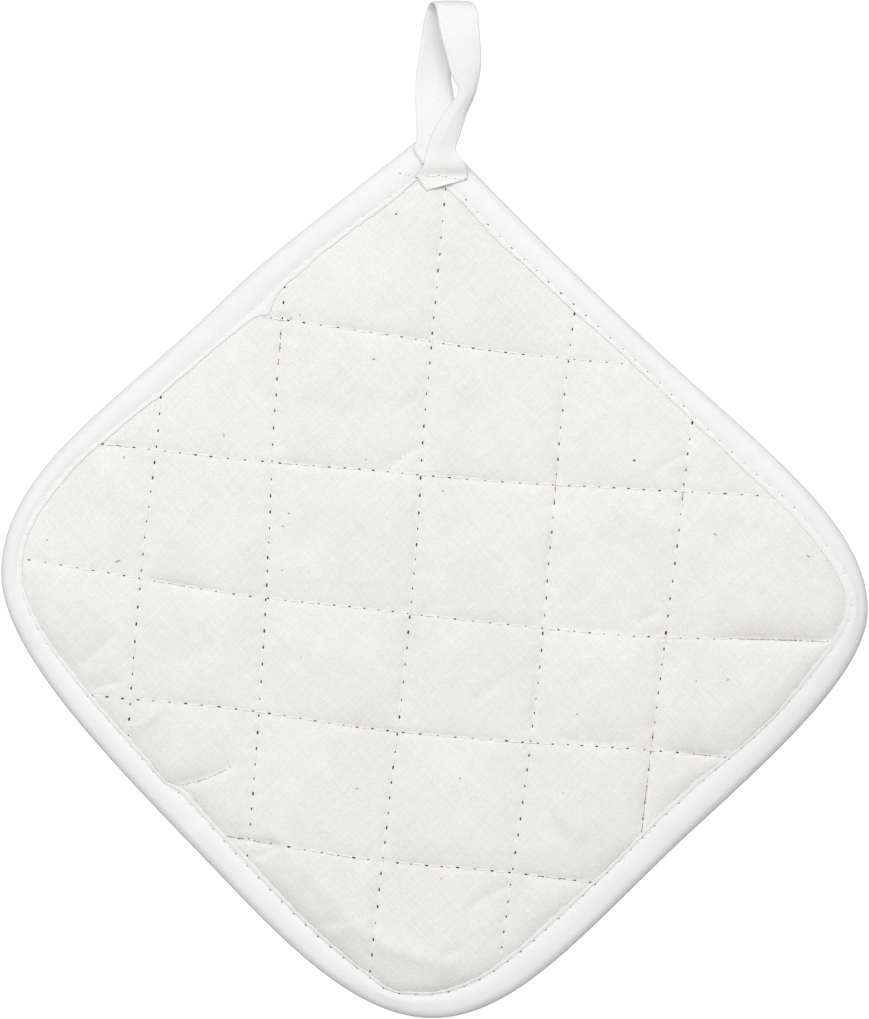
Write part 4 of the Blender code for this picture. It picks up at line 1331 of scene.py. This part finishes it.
def plain_finish(name, colour, dark_colour, roughness, grain_mm):
    """Thread, needle hole or fleck: one colour with a fine uneven tone and relief."""
    material, tree, shader = new_finish(name, roughness)
    place = tree.add("ShaderNodeTexCoord").outputs["Object"]
    noise = tree.add("ShaderNodeTexNoise", values={
        "Vector": place, "Scale": 1.0 / (grain_mm * MM), "Detail": 2.0}).outputs["Fac"]
    tree.link(mixed(tree, noise, dark_colour, colour), shader.inputs["Base Color"])
    relieved(tree, shader, noise, GRAIN_STRENGTH, GRAIN_HEIGHT)
    return material


Weave = namedtuple("Weave", "coordinates turn to_mm thread_pitch warp_scale weft_scale "
                   "slub_tone fuzz_tone cloud_tone weave_tone slub_relief fuzz_relief "
                   "bump_strength bump_height toned")
CALICO_WEAVE = Weave(
    coordinates="Object", turn=-44.0, to_mm=1.0 / MM, thread_pitch=0.44,
    warp_scale=(0.12, 1.3, 1.0), weft_scale=(1.3, 0.12, 1.0),
    slub_tone=0.115, fuzz_tone=0.26, cloud_tone=0.13, weave_tone=0.12,
    slub_relief=0.15, fuzz_relief=0.7, bump_strength=0.5, bump_height=0.10, toned=False)
TAPE_WEAVE = Weave(
    coordinates="UV", turn=45.0, to_mm=1.0 / UV_SCALE, thread_pitch=0.33,
    warp_scale=(0.2, 2.6, 1.0), weft_scale=(2.6, 0.2, 1.0),
    slub_tone=0.10, fuzz_tone=0.22, cloud_tone=0.08, weave_tone=0.20,
    slub_relief=0.15, fuzz_relief=0.5, bump_strength=0.5, bump_height=0.08, toned=False)


# Settings ---------------------------------------------------------------------------

def length(name, description, default):
    """A distance that can be changed in the sidebar."""
    return bpy.props.FloatProperty(
        name=name, description=description, default=default, min=0.0,
        subtype="DISTANCE", unit="LENGTH", precision=5)


def tint(name, description, default):
    """A colour that can be changed in the sidebar."""
    return bpy.props.FloatVectorProperty(
        name=name, description=description, default=default, size=3,
        min=0.0, max=1.0, subtype="COLOR")


class PanelSettings(bpy.types.PropertyGroup):
    """The quilted panel's sizes and colours."""

    crown_rise: length("Crown rise", "How far each cell puffs up above the seams", 0.0039)
    hole_dip: length("Needle dip", "How far the cloth dips at each needle hole", 0.00022)
    thread_colour: tint("Calico, raised", "Colour of the raised threads", (0.925, 0.920, 0.895))
    shade_colour: tint("Calico, sunk", "Colour between the threads", (0.755, 0.747, 0.717))
    fill: bpy.props.FloatProperty(
        name="Fill", description="How tightly the panel is filled", default=0.45,
        min=0.0, max=1.0, subtype="FACTOR")


class TapeSettings(bpy.types.PropertyGroup):
    """The bias tape's cut sizes and colours."""

    binding_cut: length("Binding, width", "Width of the finished binding strip", 0.0225)
    binding_run: length("Binding, length", "Length of the binding strip", 0.720)
    loop_cut: length("Loop, width", "Width of the finished loop strip", 0.0115)
    loop_run: length("Loop, length", "Length of the loop strip", 0.110)
    thread_colour: tint("Tape, raised", "Colour of the raised threads", (0.95, 0.952, 0.95))
    shade_colour: tint("Tape, sunk", "Colour between the threads", (0.84, 0.842, 0.84))
    # The loop is the same tape as the binding, its colours set a little darker as painted shade.
    loop_shaded_thread_colour: tint("Loop, raised", "Colour of the loop's threads", (0.93, 0.93, 0.925))
    loop_shaded_sunk_colour: tint("Loop, sunk", "Colour between the loop's threads",
                            (0.83, 0.83, 0.825))


class SewingSettings(bpy.types.PropertyGroup):
    """Stitches, thread and needle holes."""

    quilting_pitch: length("Quilting stitch", "From one quilting hole to the next", 0.0046)
    topstitch_pitch: length("Topstitch", "From one topstitch hole to the next", 0.0048)
    thread_diameter: length("Thread", "Diameter of the sewing thread", 0.00032)
    quilting_rise: length("Quilting bow", "How far a quilting stitch bows up", 0.0008)
    topstitch_rise: length("Topstitch bow", "How far a topstitch bows up", 0.0006)
    # Needle holes are dark lenses: their sizes and colours are painted shade seen down the holes.
    hole_long: length("Hole, length", "Needle hole, along the seam", 0.00105)
    hole_wide: length("Hole, width", "Needle hole, across the seam", 0.00058)
    thread_colour: tint("Thread", "Colour of the sewing thread", (0.97, 0.955, 0.91))
    hole_colour: tint("Quilting hole", "Colour seen down a quilting hole", (0.09, 0.075, 0.055))
    tape_hole_shadow_colour: tint("Topstitch hole", "Colour seen down a topstitch hole",
                           (0.20, 0.18, 0.14))


class StageSettings(bpy.types.PropertyGroup):
    """The floor, the lights and the camera."""

    floor_colour: tint("Floor", "Colour of the floor", (0.30, 0.30, 0.30))
    table_colour: tint("Table", "Colour of the table under the floor sheet", (0.25, 0.25, 0.25))
    floor_glow: bpy.props.FloatProperty(
        name="Floor glow", description="Light that the floor gives by itself",
        default=0.95, min=0.0)
    key_power: bpy.props.FloatProperty(
        name="Key light", description="Power of the large soft light", default=29.0,
        min=0.0, subtype="POWER", unit="POWER")
    fill_strength: bpy.props.FloatProperty(
        name="Fill light", description="Strength of the even light all round",
        default=0.50, min=0.0)
    camera_height: length("Camera height", "Height of the camera above the floor", 6.0)


def settings_of(context):
    """The four groups of settings."""
    scene = context.scene
    return (scene.pot_holder_panel, scene.pot_holder_tape, scene.pot_holder_sewing,
            scene.pot_holder_stage)


# Pieces -----------------------------------------------------------------------------

# The holes of the row that tacks the loop down, from left to right.
TACK_ROW = ((-9.9, 96.5), (-7.4, 95.9), (-5.2, 95.3), (-2.0, 95.6), (1.3, 95.9),
            (3.4, 95.5), (5.9, 94.9), (8.9, 94.8))
TACK_MIDDLE = TACK_ROW[4]

# Specks of seed coat and lint in the calico.
FleckKind = namedtuple("FleckKind", "name long wide colour")
FLECK_KINDS = (
    FleckKind("brown_seed_flecks", 0.75, 0.60, (0.17, 0.12, 0.07)),
    FleckKind("tan_seed_flecks", 0.85, 0.45, (0.50, 0.42, 0.28)),
    FleckKind("yellow_seed_flecks", 0.90, 0.60, (0.74, 0.66, 0.42)),
    FleckKind("dark_lint_flecks", 0.50, 0.35, (0.34, 0.32, 0.29)),
    FleckKind("grey_lint_flecks", 1.50, 0.55, (0.52, 0.51, 0.49)),
)
Fleck = namedtuple("Fleck", "kind x y turn")
FLECKS = (
    Fleck(0, 57.3, 14.1, 20.0), Fleck(0, -11.0, 84.8, 70.0),
    Fleck(1, 80.5, -7.1, 130.0), Fleck(1, 75.1, -49.3, 40.0), Fleck(1, -17.4, 43.1, 15.0),
    Fleck(1, -89.1, 15.0, 95.0), Fleck(1, 2.4, 5.3, 160.0),
    Fleck(2, 84.2, -48.7, 30.0), Fleck(2, -38.6, 55.8, 80.0), Fleck(2, -41.2, 54.9, 100.0),
    Fleck(2, -22.2, -80.0, 10.0), Fleck(2, 1.9, -105.8, 60.0),
    Fleck(3, -41.8, -1.1, 50.0), Fleck(3, -43.5, -4.8, 120.0), Fleck(3, -43.8, -17.4, 85.0),
    Fleck(3, -111.2, -8.8, 35.0), Fleck(3, 7.3, -77.1, 140.0), Fleck(3, 40.9, -58.7, 25.0),
    Fleck(3, 36.9, -81.4, 75.0), Fleck(3, -38.3, -42.4, 110.0), Fleck(3, -19.7, 14.3, 60.0),
    Fleck(4, -60.4, 21.3, 95.0), Fleck(4, -90.8, -14.8, 20.0), Fleck(4, 107.2, -13.4, 150.0),
)
FLECK_DEPTH = 0.14
FLECK_SHADE = 0.8
FLECK_UNEVENNESS = 0.25
FLECK_SEED = 11

# Stitches and needle holes, the holes as dark lenses of painted shade. "Level holes" is how
# open the holes are on each level quilting line, as a share of their full size.
HOLE_DEPTH = 0.22
HOLE_SHADE = 0.6
HOLE_UNEVENNESS = 0.3
HOLE_SPOT_SEED = 4
LEVEL_HOLES = (0.95, 0.92, 0.74, 0.86, 0.80)
QUILTING_HOLE_SHARE = 1.0
TOPSTITCH_HOLE_SHARE = 0.85
TACK_HOLE_SHARE = 0.45
TACK_CLEARANCE = 9.0
STITCH_COVER = 0.86
STITCH_WANDER = 0.03
STITCH_SEED = 3
THREAD_SHADE = (0.86, 0.84, 0.78)

# Painted shadow lines, laid as dark lenses: where a quilting line is drawn down by more than
# this depth, and along the bottoms of the sharp folds.
PaintedShadow = namedtuple("PaintedShadow", "name long wide colour")
SEAM_SHADOWS = PaintedShadow("painted_seam_shadows", 3.9, 0.30, (0.36, 0.30, 0.22))
FOLD_SHADOWS = PaintedShadow("painted_fold_shadows", 5.0, 0.9, (0.60, 0.56, 0.48))
TIGHT_DEPTH = 0.7
TIGHT_UNEVENNESS = 0.2
TIGHT_SEED = 6


def piece(name):
    """A piece made by an earlier operator."""
    item = bpy.data.objects.get(name)
    if item is None:
        raise RuntimeError(f"{name} has to be made first")
    return item


Needlework = namedtuple("Needlework", "name slot rise hole_size hole_colour")


def needlework(work, rows, sewing):
    """Stitches, and needle holes drawn as dark lenses of painted shade, along these rows of holes, as
    two pieces.
    """
    name = work.name
    thread = plain_finish(name + "_thread", sewing.thread_colour, THREAD_SHADE, *THREAD_GRAIN)
    dark = tuple(HOLE_SHADE * part for part in work.hole_colour)
    hole = plain_finish(name + "_hole", work.hole_colour, dark, *HOLE_SHADOW_GRAIN)
    stitches = made_by_nodes(name + "_stitches", sewing_track(name + "_track", rows),
                             stitch_group(), {
                                 "Thread diameter": sewing.thread_diameter,
                                 "Cover": STITCH_COVER, "Rise": work.rise,
                                 "Wander": STITCH_WANDER, "Thread": thread,
                                 "Seed": STITCH_SEED})
    holes = made_by_nodes(name + "_needle_hole_shadows", sewing_track(name + "_holes_track", rows),
                          spot_group(), {
                              "Length": sewing.hole_long * work.hole_size,
                              "Width": sewing.hole_wide * work.hole_size,
                              "Depth": HOLE_DEPTH * MM, "Unevenness": HOLE_UNEVENNESS,
                              "Finish": hole, "Seed": HOLE_SPOT_SEED})
    for item in (stitches, holes):
        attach(item, BODY)


class POTHOLDER_OT_panel(bpy.types.Operator):
    """Make the quilted calico panel"""

    bl_idname = "potholder.panel"
    bl_label = "Quilted Panel"

    def execute(self, context):
        """Build the panel in place of its solid."""
        panel, _, sewing, _ = settings_of(context)
        calico = cloth_finish("natural_calico", panel.thread_colour, panel.shade_colour,
                              CALICO_WEAVE)
        item = panel_mesh(panel, sewing, calico)
        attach(item, BODY)
        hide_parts("quilted_pad")
        return {"FINISHED"}


class POTHOLDER_OT_binding(bpy.types.Operator):
    """Fold the bias binding over the panel's edge"""

    bl_idname = "potholder.binding"
    bl_label = "Bias Binding"

    def execute(self, context):
        """Build the binding in place of its solid."""
        _, tape, sewing, _ = settings_of(context)
        white = cloth_finish("white_bias_tape", tape.thread_colour, tape.shade_colour,
                             TAPE_WEAVE._replace(toned=True))
        item = binding_mesh(sewing, white)
        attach(item, BODY)
        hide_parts("edge_binding")
        return {"FINISHED"}


class POTHOLDER_OT_loop(bpy.types.Operator):
    """Make the hanging loop at the top corner"""

    bl_idname = "potholder.loop"
    bl_label = "Hanging Loop"

    def execute(self, context):
        """Build the loop in place of its solid."""
        _, tape, _, _ = settings_of(context)
        # The loop's own copy of the tape finish, a little darker: painted shade.
        white = cloth_finish("white_loop_tape_shaded", tape.loop_shaded_thread_colour,
                             tape.loop_shaded_sunk_colour, TAPE_WEAVE)
        item = loop_mesh(white)
        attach(item, BODY)
        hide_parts("hanging_loop")
        return {"FINISHED"}


class POTHOLDER_OT_quilting(bpy.types.Operator):
    """Sew the quilting lines through both faces of the panel"""

    bl_idname = "potholder.quilting"
    bl_label = "Quilting"

    def execute(self, context):
        """Lay stitches and needle holes on both faces, the holes as dark lenses of painted shade, and
        painted shadow lines along tight seams and sharp creases.
        """
        sewing = context.scene.pot_holder_sewing
        surface = surface_of([piece("quilted_panel")])
        rows = []
        tight = []
        for seam in quilting_seams(sewing):
            holes = seam.holes()
            share = LEVEL_HOLES[seam.index] if seam.is_level else 1.0
            for from_above in (True, False):
                rows.append(on_cloth(surface, holes, from_above, share))
            # The drawn-in stretches between holes get dark lenses: painted shadow in their groove.
            between = (holes[:-1] + holes[1:]) / 2.0
            depth = seam.pull(between, np.zeros(len(between)))
            if (depth > TIGHT_DEPTH).any():
                tight.append(on_cloth(surface, between[depth > TIGHT_DEPTH], True))
        needlework(Needlework("quilting", "calico", sewing.quilting_rise,
                              QUILTING_HOLE_SHARE, sewing.hole_colour), rows, sewing)
        # Dark lenses along the bottoms of the sharp creases too: painted shadow lines.
        folds = [on_cloth(surface, places, True, sizes) for places, sizes in crease_lines()]
        for dark, rows in ((SEAM_SHADOWS, tight), (FOLD_SHADOWS, folds)):
            shadow = plain_finish(dark.name + "_finish", dark.colour, dark.colour, *PAINTED_LINE_GRAIN)
            track = sewing_track(dark.name + "_track", rows)
            item = made_by_nodes(dark.name, track, spot_group(), {
                "Length": dark.long * MM, "Width": dark.wide * MM, "Depth": dark.wide * MM,
                "Unevenness": TIGHT_UNEVENNESS, "Finish": shadow, "Seed": TIGHT_SEED})
            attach(item, BODY)
        return {"FINISHED"}


class POTHOLDER_OT_topstitch(bpy.types.Operator):
    """Topstitch the binding and tack the loop down"""

    bl_idname = "potholder.topstitch"
    bl_label = "Topstitching"

    def execute(self, context):
        """Sew round the binding on both faces, and across the loop's end."""
        sewing = context.scene.pot_holder_sewing
        surface = surface_of([piece("bias_binding")])
        stations, track, pitch = topstitch_track(sewing)
        groove = stations.inset(stations.stitch)
        at = np.arange(round((track[-1] + pitch / 2) / pitch)) * pitch
        places = np.column_stack([np.interp(at, track, groove[:, axis]) for axis in (0, 1)])
        sizes = np.interp(at, track, stations.hole)
        clear = np.linalg.norm(places - np.array(TACK_MIDDLE), axis=1) > TACK_CLEARANCE
        rows = [on_cloth(surface, places[clear], True, sizes[clear]),
                on_cloth(surface, places, False)]
        needlework(Needlework("topstitch", "white_tape", sewing.topstitch_rise,
                              TOPSTITCH_HOLE_SHARE, sewing.tape_hole_shadow_colour), rows, sewing)
        corner = surface_of([piece(name) for name in ("bias_binding", "hanging_loop_tape",
                                                      "quilted_panel")])
        needlework(Needlework("loop_tack", "loop_tape", sewing.topstitch_rise,
                              TACK_HOLE_SHARE, sewing.tape_hole_shadow_colour),
                   [on_cloth(corner, TACK_ROW, True)], sewing)
        return {"FINISHED"}


class POTHOLDER_OT_flecks(bpy.types.Operator):
    """Set specks of seed coat and lint in the calico"""

    bl_idname = "potholder.flecks"
    bl_label = "Seed Flecks"

    def execute(self, context):
        """Lay each kind of fleck on the panel's face."""
        surface = surface_of([piece("quilted_panel")])
        for number, kind in enumerate(FLECK_KINDS):
            flecks = [fleck for fleck in FLECKS if fleck.kind == number]
            row = on_cloth(surface, [(fleck.x, fleck.y) for fleck in flecks], True)
            runs = [Vector((*heading_vector(fleck.turn), 0.0)) for fleck in flecks]
            track = track_object(kind.name + "_track", row.found, [],
                                 (row.normals, runs, row.sizes))
            shade = tuple(FLECK_SHADE * part for part in kind.colour)
            finish = plain_finish(kind.name + "_finish", kind.colour, shade, *FLECK_GRAIN)
            item = made_by_nodes(kind.name, track, spot_group(), {
                "Length": kind.long * MM, "Width": kind.wide * MM,
                "Depth": FLECK_DEPTH * MM, "Unevenness": FLECK_UNEVENNESS,
                "Finish": finish, "Seed": FLECK_SEED + number})
            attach(item, BODY)
        return {"FINISHED"}


def flat_square(name, height, colour, glow):
    """A wide level square for the floor and the table under it."""
    half = FLOOR_SIDE / 2.0
    mesh = bpy.data.meshes.new(name)
    mesh.from_pydata([(-half, -half, height), (half, -half, height),
                      (half, half, height), (-half, half, height)], [], [(0, 1, 2, 3)])
    finish, _, shader = new_finish(name + "_finish", STAGE_ROUGHNESS)
    shader.inputs["Base Color"].default_value = (*colour, 1.0)
    shader.inputs["Emission Color"].default_value = (1.0, 1.0, 1.0, 1.0)
    shader.inputs["Emission Strength"].default_value = glow
    mesh.materials.append(finish)
    square = linked(name, mesh)
    return square


class POTHOLDER_OT_stage(bpy.types.Operator):
    """Set up the floor, the soft lights and the camera overhead"""

    bl_idname = "potholder.stage"
    bl_label = "Floor, Lights and Camera"

    def execute(self, context):
        """Build the stage."""
        stage = context.scene.pot_holder_stage
        floor = flat_square("floor", FLOOR_DROP, stage.floor_colour, stage.floor_glow)
        floor.visible_diffuse = False
        table = flat_square("table", TABLE_DROP, stage.table_colour, 0.0)
        table.visible_camera = False

        light = bpy.data.lights.new("soft_key", "AREA")
        light.shape = "RECTANGLE"
        light.size, light.size_y = KEY_SIZE
        light.energy = stage.key_power
        key = linked("soft_key", light)
        key.location = KEY_PLACE
        key.rotation_euler = (-Vector(KEY_PLACE)).to_track_quat("-Z", "Y").to_euler()

        world = bpy.data.worlds.new("even_light")
        world.use_nodes = True
        background = world.node_tree.nodes["Background"]
        background.inputs["Color"].default_value = (1.0, 1.0, 1.0, 1.0)
        background.inputs["Strength"].default_value = stage.fill_strength
        context.scene.world = world

        lens = bpy.data.cameras.new("overhead_camera")
        lens.sensor_width = SENSOR
        lens.lens = SENSOR * (stage.camera_height - FOCUS_PLANE) / VIEW_LENGTH
        lens.clip_end = CLIP_REACH * stage.camera_height
        camera = linked("overhead_camera", lens)
        camera.location = (0.0, 0.0, stage.camera_height)
        context.scene.camera = camera
        context.scene.view_settings.view_transform = "Standard"
        return {"FINISHED"}


class POTHOLDER_PT_sidebar(bpy.types.Panel):
    """Lists the pieces in the sidebar, with their settings"""

    bl_idname = "POTHOLDER_PT_sidebar"
    bl_label = "Quilted Pot Holder"
    bl_space_type = "VIEW_3D"
    bl_region_type = "UI"
    bl_category = "Pot Holder"

    def draw(self, context):
        """Show each operator, then every setting."""
        for operator in STEPS:
            self.layout.operator(operator.bl_idname)
        for settings in settings_of(context):
            box = self.layout.box()
            for name in settings.__annotations__:
                box.prop(settings, name)


STEPS = (POTHOLDER_OT_panel, POTHOLDER_OT_binding, POTHOLDER_OT_loop, POTHOLDER_OT_quilting,
         POTHOLDER_OT_topstitch, POTHOLDER_OT_flecks, POTHOLDER_OT_stage)
SETTINGS = (("pot_holder_panel", PanelSettings), ("pot_holder_tape", TapeSettings),
            ("pot_holder_sewing", SewingSettings), ("pot_holder_stage", StageSettings))


def register():
    """Make the settings, the operators and the panel known to Blender."""
    for name, group in SETTINGS:
        bpy.utils.register_class(group)
        setattr(bpy.types.Scene, name, bpy.props.PointerProperty(type=group))
    for operator in STEPS:
        bpy.utils.register_class(operator)
    bpy.utils.register_class(POTHOLDER_PT_sidebar)


def unregister():
    """Take them away again."""
    bpy.utils.unregister_class(POTHOLDER_PT_sidebar)
    for operator in reversed(STEPS):
        bpy.utils.unregister_class(operator)
    for name, group in reversed(SETTINGS):
        delattr(bpy.types.Scene, name)
        bpy.utils.unregister_class(group)


def main():
    """Build everything in order."""
    register()
    bpy.ops.potholder.panel()
    bpy.ops.potholder.binding()
    bpy.ops.potholder.loop()
    bpy.ops.potholder.quilting()
    bpy.ops.potholder.topstitch()
    bpy.ops.potholder.flecks()
    bpy.ops.potholder.stage()


if __name__ == "__main__":
    main()
